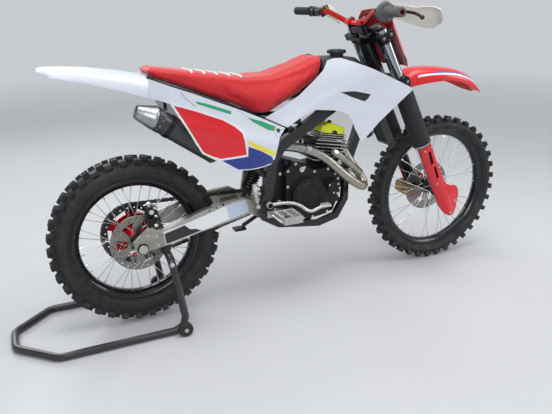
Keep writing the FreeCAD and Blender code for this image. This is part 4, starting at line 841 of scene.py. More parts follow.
def spoke_lines(wheel, count=36):
    """Ends of each crossed spoke, from its flange to the rim."""
    lines = []
    for index in range(count):
        side = 1 if index % 2 else -1
        lean = math.radians(38 if index % 4 < 2 else -38)
        angle = math.tau * index / count
        flange = wheel["flange"] + 0.0016
        rim = wheel["inner"] - 0.0012
        low = Vector((flange * math.cos(angle + lean), side * wheel["flange_y"],
                      flange * math.sin(angle + lean)))
        high = Vector((rim * math.cos(angle), side * 0.005, rim * math.sin(angle)))
        lines.append((wheel["centre"] + low, wheel["centre"] + high))
    return lines


def model_spokes(end, wheel, settings):
    """Thin round crossed spokes."""
    bm = bmesh.new()
    for start, stop in spoke_lines(wheel):
        rod(bm, start, stop, settings.spoke_radius, 8)
    finished(end + "_spokes_look", bm, "spoke", end + "_spokes", 60)


def model_hub(end, wheel):
    """Turned hub with flanges."""
    bm = bmesh.new()
    core, flange, across = wheel["core"], wheel["flange"], wheel["flange_y"]
    reach, left, bore = wheel["reach"], wheel["left"], wheel["bore"]
    spin(bm, [(bore, -reach), (core, -reach), (core + 0.001, -across - 0.008),
              (flange - 0.002, -across - 0.006), (flange, -across - 0.004),
              (flange, -across + 0.004), (flange - 0.003, -across + 0.006),
              (core * 0.86, -across + 0.016), (core * 0.80, 0), (core * 0.86, across - 0.016),
              (flange - 0.003, across - 0.006), (flange, across - 0.004),
              (flange, across + 0.004), (flange - 0.002, across + 0.006),
              (core + 0.001, across + 0.008), (core, left), (bore, left)],
         wheel["centre"], 48)
    finished(end + "_hub_look", bm, "hub_red" if end == "rear" else "black_metal",
             end + "_hub", 40)


def bore_holes(piece, places, radius, depth=0.02, sides=14):
    """Cut round holes along Y through a thin piece and keep the cut mesh."""
    cutter_bm = bmesh.new()
    for place in places:
        half = Vector((0, depth / 2, 0))
        rod(cutter_bm, place - half, place + half, radius, sides)
    mesh = bpy.data.meshes.new("cutter")
    cutter_bm.to_mesh(mesh)
    cutter_bm.free()
    cutter = bpy.data.objects.new("cutter", mesh)
    bpy.context.scene.collection.objects.link(cutter)
    cut = piece.modifiers.new("holes", "BOOLEAN")
    cut.object = cutter
    cut.operation = "DIFFERENCE"
    graph = bpy.context.evaluated_depsgraph_get()
    piece.data = bpy.data.meshes.new_from_object(piece.evaluated_get(graph))
    piece.modifiers.clear()
    bpy.data.objects.remove(cutter)


def model_disc(end, wheel):
    """Ground disc with rows of cooling holes, and its bolts."""
    node = end + "_disc"
    piece = dress(node, "disc", 0, 30)
    low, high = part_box(node)
    level = (low[1] + high[1]) / 2
    outer = (high[2] - low[2]) / 2
    places = []
    for row, inset in ((0, 0.009), (1, 0.018), (2, 0.027)):
        places += ring_places(wheel["centre"], outer - inset, level, 24,
                              math.tau / 24 * row / 3)
    bore_holes(piece, places, 0.0034)
    bolts = bmesh.new()
    facing = Vector((0, math.copysign(1, level), 0))
    face = max(abs(low[1]), abs(high[1]))
    for place in ring_places(wheel["centre"], 0.031, math.copysign(face, level), 6, 0.52):
        bolt(bolts, place, facing, 0.0045, 0.004)
    fitted(end + "_disc_bolts", bolts, "black_metal", node, 35)


def two_tone_sprocket():
    """Dark toothed ring outside a red anodised carrier, split by the distance from the axle."""
    shade = Shade("sprocket with red carrier", (0.07, 0.07, 0.072), 0.34, 1.0)
    offset = shade.add("ShaderNodeVectorMath", operation="SUBTRACT")
    offset.inputs[1].default_value = REAR_CENTRE
    shade.link(shade.coords, offset.inputs[0])
    flat = shade.add("ShaderNodeVectorMath", operation="MULTIPLY")
    flat.inputs[1].default_value = (1, 0, 1)
    shade.link(offset.outputs[0], flat.inputs[0])
    far = shade.add("ShaderNodeVectorMath", operation="LENGTH")
    shade.link(flat.outputs[0], far.inputs[0])
    ring = shade.spread(far.outputs["Value"], 0, 1, 0.0985, 0.0995)
    red = shade.blend(shade.spread(shade.noise(30, 5), 0, 0.4), (0.62, 0.012, 0.02),
                      (0.30, 0.008, 0.012))
    shade.link(shade.blend(ring, red, (0.06, 0.06, 0.062)), shade.base.inputs["Base Color"])
    shade.roughen(shade.noise(120, 6), 0.22, 0.45)
    shade.bump(shade.noise(500, 3), 0.08, 0.0003)
    return shade.material


def model_sprocket():
    """Packed sprocket in two finishes with its six bolts."""
    MATERIALS["two_tone"] = two_tone_sprocket()
    piece = dress("rear_sprocket", "two_tone", 0, 30)
    low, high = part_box("rear_sprocket")
    bore_holes(piece, ring_places(REAR_CENTRE, 0.108, high[1], 24, 0.13), 0.0036)
    bolts = bmesh.new()
    for place in ring_places(REAR_CENTRE, 0.048, high[1], 6, 0.52):
        bolt(bolts, place, LEFT, 0.006, 0.005)
    ring = bmesh.new()
    spin(ring, [(0.060, 0.0), (0.061, -0.0035), (0.084, -0.0035), (0.085, 0.0)],
         REAR_CENTRE + Vector((0, low[1] - 0.0002, 0)), 72)
    fitted("sprocket_carrier", ring, "hub_red", "rear_sprocket", 35)
    fitted("sprocket_bolts", bolts, "polished", "rear_sprocket", 35)


# Chain


class ChainSettings(bpy.types.PropertyGroup):
    """Drive chain."""
    pitch: bpy.props.FloatProperty(
        name="Pitch", description="Distance between two pins", unit="LENGTH", default=0.015875)
    plate: bpy.props.FloatProperty(
        name="Plate", description="Thickness of a link plate", unit="LENGTH", default=0.0018)
    level: bpy.props.FloatProperty(
        name="Level", description="Distance of the chain's middle from the bike's middle",
        unit="LENGTH", default=0.064)


class MOTO_OT_chain(bpy.types.Operator):
    """Lay roller links round both sprockets"""
    bl_idname = "moto.chain"
    bl_label = "Chain"

    def execute(self, context):
        settings = context.scene.moto_chain
        bm = bmesh.new()
        places = chain_places(settings)
        for index, place in enumerate(places):
            after = places[(index + 1) % len(places)]
            add_link(bm, place, after, index % 2, settings)
        finished("chain_look", bm, "chain", "chain", 40)
        return {"FINISHED"}


def on_arc(centre, radius, angle):
    """Place on an upright circle at an angle from the forward direction."""
    return centre + Vector((radius * math.cos(angle), 0, radius * math.sin(angle)))


def chain_places(settings):
    """Pins at equal steps round the loop of two arcs and two runs."""
    big = settings.pitch / 2 / math.sin(math.pi / 48)
    small = settings.pitch / 2 / math.sin(math.pi / 13)
    rear = Vector((REAR_CENTRE.x, settings.level, REAR_CENTRE.z))
    front = at(642, 0, 412) + Vector((0, settings.level, 0))
    run = front - rear
    heading = math.atan2(run.z, run.x)
    lean = math.acos((big - small) / run.length)
    straight = math.sqrt(run.length ** 2 - (big - small) ** 2)
    back, ahead = big * (math.tau - 2 * lean), small * 2 * lean
    total = back + ahead + 2 * straight
    count = 2 * round(total / settings.pitch / 2)
    places = []
    for index in range(count):
        gone = total * index / count
        if gone < back:
            places.append(on_arc(rear, big, heading + lean + gone / big))
        elif gone < back + straight:
            share = (gone - back) / straight
            places.append(on_arc(rear, big, heading - lean).lerp(
                on_arc(front, small, heading - lean), share))
        elif gone < back + straight + ahead:
            angle = (gone - back - straight) / small
            places.append(on_arc(front, small, heading - lean + angle))
        else:
            share = (gone - back - straight - ahead) / straight
            places.append(on_arc(front, small, heading + lean).lerp(
                on_arc(rear, big, heading + lean), share))
    return places


def add_link(bm, place, after, outer, settings):
    """Two waisted plates, and a roller on the first pin."""
    offset = 0.0058 if outer else 0.0038
    along = (after - place).normalized()
    up = LEFT.cross(along)
    middle = (place + after) / 2
    reach = settings.pitch / 2
    for side in (1, -1):
        face = []
        for far, high in ((-1.42, 0.0035), (-1.0, 0.0070), (0, 0.0048), (1.0, 0.0070),
                          (1.42, 0.0035), (1.42, -0.0035), (1.0, -0.0070), (0, -0.0048),
                          (-1.0, -0.0070), (-1.42, -0.0035)):
            face.append(bm.verts.new(middle + along * reach * far + up * high
                                     + LEFT * side * offset))
        flat = bm.faces.new(face)
        made = bmesh.ops.extrude_face_region(bm, geom=[flat])["geom"]
        bmesh.ops.translate(bm, vec=LEFT * side * settings.plate,
                            verts=[item for item in made if isinstance(item, bmesh.types.BMVert)])
    rod(bm, place - LEFT * 0.0036, place + LEFT * 0.0036, 0.0050, 8)
    rod(bm, place - LEFT * 0.0084, place + LEFT * 0.0084, 0.0024, 6)


# Plastic covers

# Distance of each cover's outer face from the bike's middle at places along it, in mm
SIDE_CURVE = [(60, 120), (130, 147), (200, 161), (350, 170), (470, 161), (590, 128)]
SHROUD_CURVE = [(480, 128), (600, 131), (740, 138), (900, 174), (1130, 208)]


def side_level(x, z):
    """Outer face of the side panel, rounded towards its lower edge and creased above."""
    fold = 758 + (x - 300) * -0.30
    bulge = 5 * math.exp(-((z - fold) / 22) ** 2)
    tuck = 0.0009 * max(0, 690 - z) ** 2 * 0.6
    return through(SIDE_CURVE, x) + bulge - tuck


def shroud_level(x, z):
    """Outer face of the shroud, with a crease from the vent to the tail and a rounded top."""
    crease = 806 + (x - 697) * 0.52
    bulge = 5 * math.exp(-((z - crease) / 20) ** 2) * min(1, max(0, (1010 - x) / 200))
    lean = 0.0022 * max(0, z - 900) ** 2 * min(1, max(0, (1040 - x) / 160))
    return through(SHROUD_CURVE, x) + bulge - lean


# Outlines in millimetres in the bike's own frame
SIDE_OUTLINE = [(72, 893), (108, 882), (145, 867), (166, 834), (190, 786), (212, 726),
                (240, 687), (290, 652), (330, 626), (371, 607), (420, 602), (469, 603),
                (512, 608), (534, 630), (544, 670), (554, 706), (584, 741), (540, 762),
                (497, 783), (442, 808), (384, 834), (300, 868), (216, 903), (140, 931),
                (68, 960)]
SHROUD_OUTLINE = [(500, 787), (575, 821), (647, 864), (700, 908), (747, 951), (766, 985),
                  (790, 992), (820, 993), (872, 976), (935, 952), (1000, 922), (1065, 891),
                  (1098, 875), (1116, 864), (1118, 858), (1086, 831), (1051, 801), (978, 738),
                  (940, 697), (905, 660), (896, 676), (875, 716), (862, 750), (846, 773),
                  (824, 786), (790, 794), (710, 801), (650, 778), (592, 743)]
VENT_OUTLINE = [(812, 864), (842, 866), (868, 866), (905, 858), (936, 850), (926, 834),
                (912, 823), (885, 833), (856, 844), (834, 854)]
# Outline of the black sheet of painted shade set behind each shroud
SHROUD_SHADE_OUTLINE = [(700, 816), (792, 806), (832, 798), (864, 768), (886, 724), (902, 684),
                 (936, 708), (974, 748), (1048, 811), (1104, 860), (1060, 880), (1000, 908),
                 (935, 938), (872, 960), (800, 968), (740, 925)]
SHROUD_SHADE_GAP = 0.0012  # metres between a shroud and the black sheet of painted shade behind it
NUMBER_FIELD = [(146, 866), (216, 843), (317, 802), (362, 774), (390, 748), (400, 706),
                (406, 664), (303, 661), (270, 675), (240, 692), (192, 782)]
NUMBER_EDGE = [(135, 870), (140, 876), (218, 851), (321, 810), (369, 781), (398, 752),
               (408, 708), (414, 657), (301, 654), (266, 668), (235, 687), (186, 778)]
BLUE_FIELD = [(308, 653), (410, 656), (414, 694), (470, 668), (516, 640), (526, 622),
              (515, 613), (468, 607), (420, 606), (371, 611)]
YELLOW_STRIPE = [(413, 716), (446, 700), (480, 684), (531, 655), (533, 638), (485, 661),
                 (446, 682), (412, 704)]
GREEN_REAR = [(220, 877), (263, 865), (352, 831), (347, 821), (281, 846), (227, 867)]
GREEN_FRONT = [(413, 804), (471, 783), (536, 754), (533, 737), (500, 746), (433, 786)]
YELLOW_TIP = [(531, 752), (541, 747), (540, 734), (529, 739)]
BLUE_TIP = [(542, 746), (561, 740), (553, 726), (541, 733)]
SEAM_REAR = [(171, 912), (185, 892), (221, 857)]
SEAM_FRONT = [(373, 836), (439, 787), (546, 713)]
SEAM_RADIUS = 0.00065


class CoverSettings(bpy.types.PropertyGroup):
    """Side panels, shrouds and their stripes."""
    skin: bpy.props.FloatProperty(
        name="Skin", description="Thickness of the moulded covers", unit="LENGTH",
        default=0.0032)
    film: bpy.props.FloatProperty(
        name="Film", description="How far a printed film stands off its cover",
        unit="LENGTH", default=0.0004)
    grid: bpy.props.FloatProperty(
        name="Grid", description="Spacing of the cuts that let a cover curve",
        unit="LENGTH", default=0.014)


class MOTO_OT_covers(bpy.types.Operator):
    """Model the curved covers with their stripes"""
    bl_idname = "moto.covers"
    bl_label = "Covers"

    def execute(self, context):
        settings = context.scene.moto_covers
        model_cover("side_panels", SIDE_OUTLINE, [], side_level, settings)
        model_cover("shrouds", SHROUD_OUTLINE, [VENT_OUTLINE], shroud_level, settings)
        # A black sheet behind each shroud is painted shade for the dark inside of the shroud, seen
        # through its vent
        behind = -(settings.skin + SHROUD_SHADE_GAP) / settings.film
        shade_sheet = print_or_shade_film("shroud_painted_shade", SHROUD_SHADE_OUTLINE, shroud_level, "black", behind, settings)
        for name, outline, finish, lift in (
                ("number_edge", NUMBER_EDGE, "pure_white", 1),
                ("number_field", NUMBER_FIELD, "red", 2), ("blue_field", BLUE_FIELD, "blue", 1),
                ("yellow_stripe", YELLOW_STRIPE, "yellow", 1),
                ("green_rear", GREEN_REAR, "green", 1),
                ("green_front", GREEN_FRONT, "green", 1),
                ("yellow_tip", YELLOW_TIP, "yellow", 1), ("blue_tip", BLUE_TIP, "blue", 1)):
            print_or_shade_film(name, outline, side_level, finish, lift, settings)
        for name, path in (("seam_rear", SEAM_REAR), ("seam_front", SEAM_FRONT)):
            cut_line(name, path, side_level, settings)
        return {"FINISHED"}


def model_cover(node, outline, holes, level_of, settings):
    """White moulded cover on both sides of the bike."""
    bm = paired_sheets(outline, holes, level_of, settings.grid, 0, settings.skin)
    piece = finished(node + "_look", bm, "white", node, 40)
    soften(piece, 0.0010, 2, 60)


def print_or_shade_film(name, outline, level_of, finish, lift, settings):
    """Thin film on both covers: printed stripes on the outer face, or, with a negative lift, a black
    sheet of painted shade behind the cover.
    """
    bm = paired_sheets(outline, [], level_of, settings.grid, settings.film * lift,
                       settings.film * 0.8)
    piece = new_object(name, bm, finish, "chassis", 40)
    return piece


def cut_line(name, path, level_of, settings):
    """Dark line where two covers meet."""
    bm = bmesh.new()
    for side in (1, -1):
        for (x0, z0), (x1, z1) in zip(path, path[1:]):
            ends = []
            for x, z in ((x0, z0), (x1, z1)):
                ends.append(at(x, side * (level_of(x, z) + settings.film * 500), z))
            rod(bm, ends[0], ends[1], SEAM_RADIUS, 6)
    piece = new_object(name, bm, "black", "chassis", 60)


# Seat


class SeatSettings(bpy.types.PropertyGroup):
    """Padded saddle."""
    voxel: bpy.props.FloatProperty(
        name="Voxel", description="Mesh size before the cloth fills out", unit="LENGTH",
        default=0.0055)
    shrink: bpy.props.FloatProperty(
        name="Shrink", description="How far the cover starts inside its full size",
        unit="LENGTH", default=0.005)
    swell: bpy.props.FloatProperty(
        name="Swell", description="Furthest that the padding may push the cover out",
        unit="LENGTH", default=0.008)
    pressure: bpy.props.FloatProperty(
        name="Pressure", description="Pressure inside the cover", default=4.0)
    frames: bpy.props.IntProperty(
        name="Frames", description="Steps of the cloth simulation", default=20)


class MOTO_OT_seat(bpy.types.Operator):
    """Fill out the saddle as cloth and lay its welts across the top"""
    bl_idname = "moto.seat"
    bl_label = "Seat"

    def execute(self, context):
        settings = context.scene.moto_seat
        seat = fill_seat(settings)
        lay_welts(seat)
        return {"FINISHED"}


def fill_seat(settings):
    """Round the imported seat's edges, then let pressure crown it like foam under vinyl."""
    bm = copy_of("seat")
    bmesh.ops.dissolve_limit(bm, angle_limit=0.02, verts=bm.verts[:], edges=bm.edges[:])
    piece = new_object("seat_look", bm, "seat", "chassis", 60)
    soften(piece, 0.012, 3, 25)
    apply_modifiers(piece)
    remesh = piece.modifiers.new("grid", "REMESH")
    remesh.mode = "VOXEL"
    remesh.voxel_size = settings.voxel
    ease = piece.modifiers.new("ease", "SMOOTH")
    ease.factor = 0.5
    ease.iterations = 14
    apply_modifiers(piece)
    for vert in piece.data.vertices:
        vert.co -= vert.normal * settings.shrink
    start = [vert.co.copy() for vert in piece.data.vertices]
    run_cloth(piece, settings)
    for vert, before in zip(piece.data.vertices, start):
        moved = vert.co - before
        if moved.length > settings.swell:
            vert.co = before + moved.normalized() * settings.swell
    keep_off_rails(piece)
    refine = piece.modifiers.new("refine", "SUBSURF")
    refine.levels = refine.render_levels = 1
    apply_modifiers(piece)
    piece.data.polygons.foreach_set("use_smooth", [True] * len(piece.data.polygons))
    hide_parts("seat")
    return piece


def run_cloth(piece, settings):
    """Step a short cloth simulation with pressure and no weight."""
    cloth = piece.modifiers.new("cloth", "CLOTH")
    cloth.settings.use_pressure = True
    cloth.settings.uniform_pressure_force = settings.pressure
    cloth.settings.effector_weights.gravity = 0
    cloth.settings.tension_stiffness = 40
    cloth.settings.compression_stiffness = 40
    cloth.settings.bending_stiffness = 4
    cloth.point_cache.frame_end = settings.frames
    for number in range(1, settings.frames + 1):
        bpy.context.scene.frame_set(number)
    apply_modifiers(piece)
    bpy.context.scene.frame_set(1)


def keep_off_rails(piece):
    """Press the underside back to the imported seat's own underside."""
    solid = copy_of("seat")
    tree = BVHTree.FromBMesh(solid)
    for vert in piece.data.vertices:
        spot, normal = tree.find_nearest(vert.co)[:2]
        if normal.z < -0.3 and (vert.co - spot).dot(normal) > -0.0004:
            vert.co = spot - normal * 0.0004
    solid.free()


def lay_welts(seat):
    """Five raised welts across the seat's top, lying on the filled cover."""
    bm = bmesh.new()
    skin = bmesh.new()
    skin.from_mesh(seat.data)
    tree = BVHTree.FromBMesh(skin)
    for middle in (258, 306, 353, 402, 450):
        line = []
        for step in range(-6, 7):
            across = step * 12
            above = at(middle - abs(across) * 0.25, across, 1100)
            spot = tree.ray_cast(above, -UP)[0]
            if spot:
                line.append(spot + Vector((0, 0, 0.0012)))
        strip(bm, line, 0.006, 0.0038)
    skin.free()
    piece = fitted("seat_welts", bm, "seat_rib", "seat", 60)


def strip(bm, line, wide, high):
    """Soft round-topped strip along a line of places, closed and tapered at both ends."""
    rings = []
    count = 10
    for index, place in enumerate(line):
        ahead = line[min(index + 1, len(line) - 1)] - line[max(index - 1, 0)]
        ahead.normalize()
        side = ahead.cross(UP).normalized()
        up = side.cross(ahead)
        full = min(1, 0.35 + min(index, len(line) - 1 - index) * 0.5)
        ring = []
        for turn in range(count):
            angle = math.tau * turn / count
            ring.append(bm.verts.new(place + side * math.cos(angle) * wide * full
                                     + up * math.sin(angle) * high * full))
        rings.append([bm.edges.new((ring[turn - 1], ring[turn])) for turn in range(count)])
    for near, far in zip(rings, rings[1:]):
        bmesh.ops.bridge_loops(bm, edges=near + far)
    for ring in (rings[0], rings[-1]):
        bmesh.ops.holes_fill(bm, edges=ring, sides=0)


# Fenders


class FenderSettings(bpy.types.PropertyGroup):
    """Front and rear fenders."""
    skin: bpy.props.FloatProperty(
        name="Skin", description="Thickness of the fenders", unit="LENGTH", default=0.003)
    rows: bpy.props.IntProperty(
        name="Rows", description="Stations along each fender", default=40)
    columns: bpy.props.IntProperty(
        name="Columns", description="Steps across each fender", default=24)


# Station along the bike, half width, height of the crown and of the lower edge, in mm
REAR_ARCH = [(-278, 58, 1000, 991), (-262, 74, 1004, 984), (-240, 86, 1005, 976),
             (-130, 98, 998, 952), (-20, 108, 983, 922), (24, 111, 975, 907),
             (78, 112, 963, 889)]
FRONT_ARCH = [(1060, 50, 798, 772), (1120, 54, 836, 804), (1165, 57, 864, 826),
              (1206, 61, 896, 841), (1247, 68, 918, 850), (1295, 76, 923, 857),
              (1362, 86, 921, 863), (1420, 87, 915, 861), (1475, 84, 905, 851),
              (1548, 73, 875, 825), (1600, 56, 834, 801), (1642, 28, 795, 786)]


class MOTO_OT_fenders(bpy.types.Operator):
    """Model both fenders and the front one's stripes"""
    bl_idname = "moto.fenders"
    bl_label = "Fenders"

    def execute(self, context):
        settings = context.scene.moto_fenders
        rear = arch_shell(REAR_ARCH, (-1, 1), 0, settings)
        lug_down(rear, "rear_fender")
        soften(finished("rear_fender_look", rear, "white", "rear_fender", 40), 0.001, 2, 60)
        front = arch_shell(FRONT_ARCH, (-1, 1), 0, settings)
        lug_down(front, "front_fender")
        soften(finished("front_fender_look", front, "red", "front_fender", 40), 0.001, 2, 60)
        for name, finish, near, far, stations in (
                ("fender_white", "pure_white", 0.70, 0.80, (1250, 1640)),
                ("fender_blue", "light_blue", 0.63, 0.70, (1330, 1560))):
            bm = bmesh.new()
            for span in ((near, far), (-far, -near)):
                add_mesh(bm, arch_shell(FRONT_ARCH, span, 0.0004, settings, stations, 4))
            fitted(name, bm, finish, "front_fender")
        return {"FINISHED"}


def arch_point(arch, station, share, lift):
    """Place on a fender's rounded section, with share from one edge (-1) to the other (1)."""
    half = through([(row[0], row[1]) for row in arch], station) + lift * 1000
    top = through([(row[0], row[2]) for row in arch], station) + lift * 1000
    low = through([(row[0], row[3]) for row in arch], station)
    angle = share * math.pi / 2
    across = half * math.copysign(abs(math.sin(angle)) ** 0.72, share)
    up = low + (top - low) * abs(math.cos(angle)) ** 0.62
    return at(station, across, up)


def arch_shell(arch, span, lift, settings, stations=None, columns=None):
    """Thin curved sheet between two stations and two shares of its section."""
    bm = bmesh.new()
    first, last = stations or (arch[0][0], arch[-1][0])
    columns = columns or settings.columns
    rows = []
    for index in range(settings.rows + 1):
        station = first + (last - first) * index / settings.rows
        verts = [bm.verts.new(arch_point(arch, station,
                                         span[0] + (span[1] - span[0]) * step / columns, lift))
                 for step in range(columns + 1)]
        rows.append([bm.edges.new(pair) for pair in zip(verts, verts[1:])])
    for near, far in zip(rows, rows[1:]):
        bmesh.ops.bridge_loops(bm, edges=near + far)
    bmesh.ops.recalc_face_normals(bm, faces=bm.faces[:])
    if sum(face.normal.z * face.calc_area() for face in bm.faces) < 0:
        bmesh.ops.reverse_faces(bm, faces=bm.faces[:])
    bmesh.ops.solidify(bm, geom=bm.faces[:], thickness=lift * 0.8 if lift else settings.skin)
    return bm


def lug_down(bm, node):
    """Add the plain lug that fastens a fender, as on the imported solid."""
    lug = bmesh.new()
    if node == "rear_fender":
        block(lug, at(42, -40, 940), at(90, 40, 964), 0, 0.002)
    else:
        block(lug, Vector((0.006, -0.03, 0.558)), Vector((0.046, 0.03, 0.592)), 0, 0.002)
        lean_with_fork(lug)
    add_mesh(bm, lug)


# Engine and exhaust


class EngineSettings(bpy.types.PropertyGroup):
    """Engine castings and the exhaust."""
    bolt_radius: bpy.props.FloatProperty(
        name="Bolt radius", description="Half the width of the cover bolts", unit="LENGTH",
        default=0.0045)
    pipe_radius: bpy.props.FloatProperty(
        name="Pipe radius", description="Half the thickness of the header", unit="LENGTH",
        default=0.019)
    louvres: bpy.props.IntProperty(
        name="Louvres", description="Slats on each radiator's guard", default=11)


# Corners of the header's route in mm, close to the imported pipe's
HEADER_ROUTE = [(893, -20, 628), (910, -44, 584), (936, -58, 532), (972, -70, 484),
                (980, -92, 446), (946, -118, 451), (855, -122, 517), (772, -112, 600),
                (700, -94, 634), (630, -74, 652), (540, -74, 662), (440, -112, 666),
                (330, -114, 654)]
UPPER_START, UPPER_END = (803, -120, 623), (954, -98, 505)
MUFFLER_START, MUFFLER_END = (326, -114, 654), (84, -112, 822)
BARREL_FOOT = (820, 0, 560)
BARREL_LEAN = math.radians(10)
CLUTCH_RING = [(610, 424), (632, 362), (676, 346), (724, 344), (792, 356), (842, 430),
               (842, 496), (794, 543), (730, 540), (684, 563), (644, 582), (610, 556),
               (608, 490)]


class MOTO_OT_engine(bpy.types.Operator):
    """Model the castings, their bolts, the barrel's fins, the header and the silencer"""
    bl_idname = "moto.engine"
    bl_label = "Engine"

    def execute(self, context):
        settings = context.scene.moto_engine
        model_castings(settings)
        model_barrel()
        model_header(settings)
        model_muffler()
        model_intake()
        model_radiators(settings)
        return {"FINISHED"}


def model_castings(settings):
    """Black castings with softened edges, raised rings, ribs and bright bolts."""
    for node, edge in (("crankcase", 0.004), ("engine_covers", 0.003)):
        dress(node, "engine", edge)
    bolts = bmesh.new()
    for x, z in CLUTCH_RING:
        bolt(bolts, at(x, -96.5, z), RIGHT, settings.bolt_radius, 0.005)
    for place in ring_places(at(762, 88, 450), 0.064, 0, 7, 0.3):
        bolt(bolts, place, LEFT, settings.bolt_radius, 0.005)
    for place in ring_places(at(806, -128.5, 470), 0.024, 0, 3, 0.5):
        bolt(bolts, place, RIGHT, 0.0035, 0.004)
    for x, z in ((590, 540), (584, 420), (868, 440), (876, 530)):
        bolt(bolts, at(x, -64.5, z), RIGHT, 0.006, 0.006)
    fitted("cover_bolts", bolts, "polished", "engine_covers")
    trim = bmesh.new()
    dome = at(700, -116, 440)
    lathe(trim, [(0, 0.0035), (0.030, 0.0035), (0.033, 0.002), (0.052, 0.002), (0.054, 0.0036),
                 (0.060, 0.0036), (0.062, 0.0015), (0.070, 0.0012), (0.0705, -0.004)],
          dome, dome + RIGHT)
    for turn in range(6):
        angle = math.tau * turn / 6 + 0.3
        start = dome + Vector((0.036 * math.cos(angle), -0.002, 0.036 * math.sin(angle)))
        stop = dome + Vector((0.050 * math.cos(angle), -0.002, 0.050 * math.sin(angle)))
        rod(trim, start, stop, 0.0024, 8)
    oil = at(806, -128, 470)
    lathe(trim, [(0, 0.003), (0.012, 0.003), (0.014, 0.001), (0.026, 0.001), (0.028, -0.003)],
          oil, oil + RIGHT, 32)
    left_dome = at(762, 88, 450)
    lathe(trim, [(0, 0.003), (0.020, 0.003), (0.022, 0.001), (0.050, 0.001), (0.052, 0.003),
                 (0.056, 0.003), (0.058, -0.001)], left_dome, left_dome + LEFT)
    for spot, radius in (((850, -62, 400), 0.011), ((610, -62, 585), 0.009)):
        rod(trim, at(*spot), at(spot[0], spot[1] - 22, spot[2]), radius, 20)
    fitted("cover_trim", trim, "engine", "engine_covers")
    plugs = bmesh.new()
    for x, y, z, radius in ((672, -97, 556, 0.011), (770, -97, 384, 0.010),
                            (830, -97, 520, 0.008)):
        lathe(plugs, [(0, 0.008), (radius * 0.6, 0.008), (radius * 0.7, 0.004),
                      (radius, 0.004), (radius, 0)], at(x, y, z), at(x, y - 1, z), 24)
    fitted("cover_plugs", plugs, "cast_alloy", "engine_covers")


def model_barrel():
    """Dark barrel whose fins have bright machined edges, under a yellow cam cover."""
    dress("cylinder", "engine", 0.0008)
    turn = Matrix.Translation(at(*BARREL_FOOT)) @ Matrix.Rotation(BARREL_LEAN, 4, "Y")
    edges = bmesh.new()
    for row in range(7):
        level = 0.0065 + row * 0.014
        outline = []
        for x, y in ((-0.0808, -0.0678), (0.0768, -0.0678), (0.0768, 0.0678),
                     (-0.0808, 0.0678)):
            outline.append(edges.verts.new(turn @ Vector((x, y, level))))
        flat = edges.faces.new(outline)
        flat.normal_update()
        bmesh.ops.inset_region(edges, faces=[flat], thickness=0.006, use_boundary=True,
                               use_even_offset=True)
        bmesh.ops.delete(edges, geom=[flat], context="FACES_ONLY")
    bmesh.ops.solidify(edges, geom=edges.faces[:], thickness=0.0042)
    bmesh.ops.translate(edges, verts=edges.verts[:], vec=turn.to_3x3() @ UP * 0.0021)
    fitted("fin_edges", edges, "fins", "cylinder")
    model_head(turn)


def model_head(turn):
    """Finned head under an arched yellow cover with a dark plug in its lower edge."""
    core, cover, plates = bmesh.new(), bmesh.new(), bmesh.new()
    trim, dark = bmesh.new(), bmesh.new()
    block(core, Vector((-0.056, -0.046, 0.0935)), Vector((0.061, 0.046, 0.119)), 0, 0.002)
    for level in (0.0945, 0.1035, 0.1125):
        block(plates, Vector((-0.062, -0.052, level)), Vector((0.068, 0.052, level + 0.0038)),
              0, 0.0006)
    outline = [(-56, 119.4), (62, 119.4), (62, 134), (54, 146), (36, 153), (4, 158),
               (-16, 161.5), (-32, 157), (-44, 147), (-56, 140)]
    flat = cover.faces.new([cover.verts.new((x / 1000, -0.048, z / 1000)) for x, z in outline])
    made = bmesh.ops.extrude_face_region(cover, geom=[flat])["geom"]
    bmesh.ops.translate(cover, vec=Vector((0, 0.096, 0)),
                        verts=[item for item in made if isinstance(item, bmesh.types.BMVert)])
    for x, y in ((-46, -40), (46, -40), (-46, 40), (46, 40)):
        bolt(trim, Vector((x / 1000, y / 1000, 0.142)), UP, 0.0055, 0.008)
    for x in (-0.046, 0.052):
        bolt(trim, Vector((x, -0.048, 0.126)), RIGHT, 0.0042, 0.004)
    plug = Vector((0.010, -0.0478, 0.1205))
    lathe(dark, [(0, 0.004), (0.011, 0.004), (0.013, 0.002), (0.013, -0.004)], plug,
          plug + RIGHT, 28)
    rod(dark, Vector((0.004, 0, 0.155)), Vector((0.004, 0, 0.168)), 0.009, 20)
    for bm in (core, cover, plates, trim, dark):
        bmesh.ops.transform(bm, matrix=turn, verts=bm.verts[:])
    piece = finished("head_cover_look", cover, "cam", "head_cover", 40)
    soften(piece, 0.003, 3)
    for name, bm, finish in (("head_core", core, "engine"), ("head_fins", plates, "fins"),
                             ("head_bolts", trim, "polished"), ("head_plug", dark, "black")):
        fitted(name, bm, finish, "head_cover")


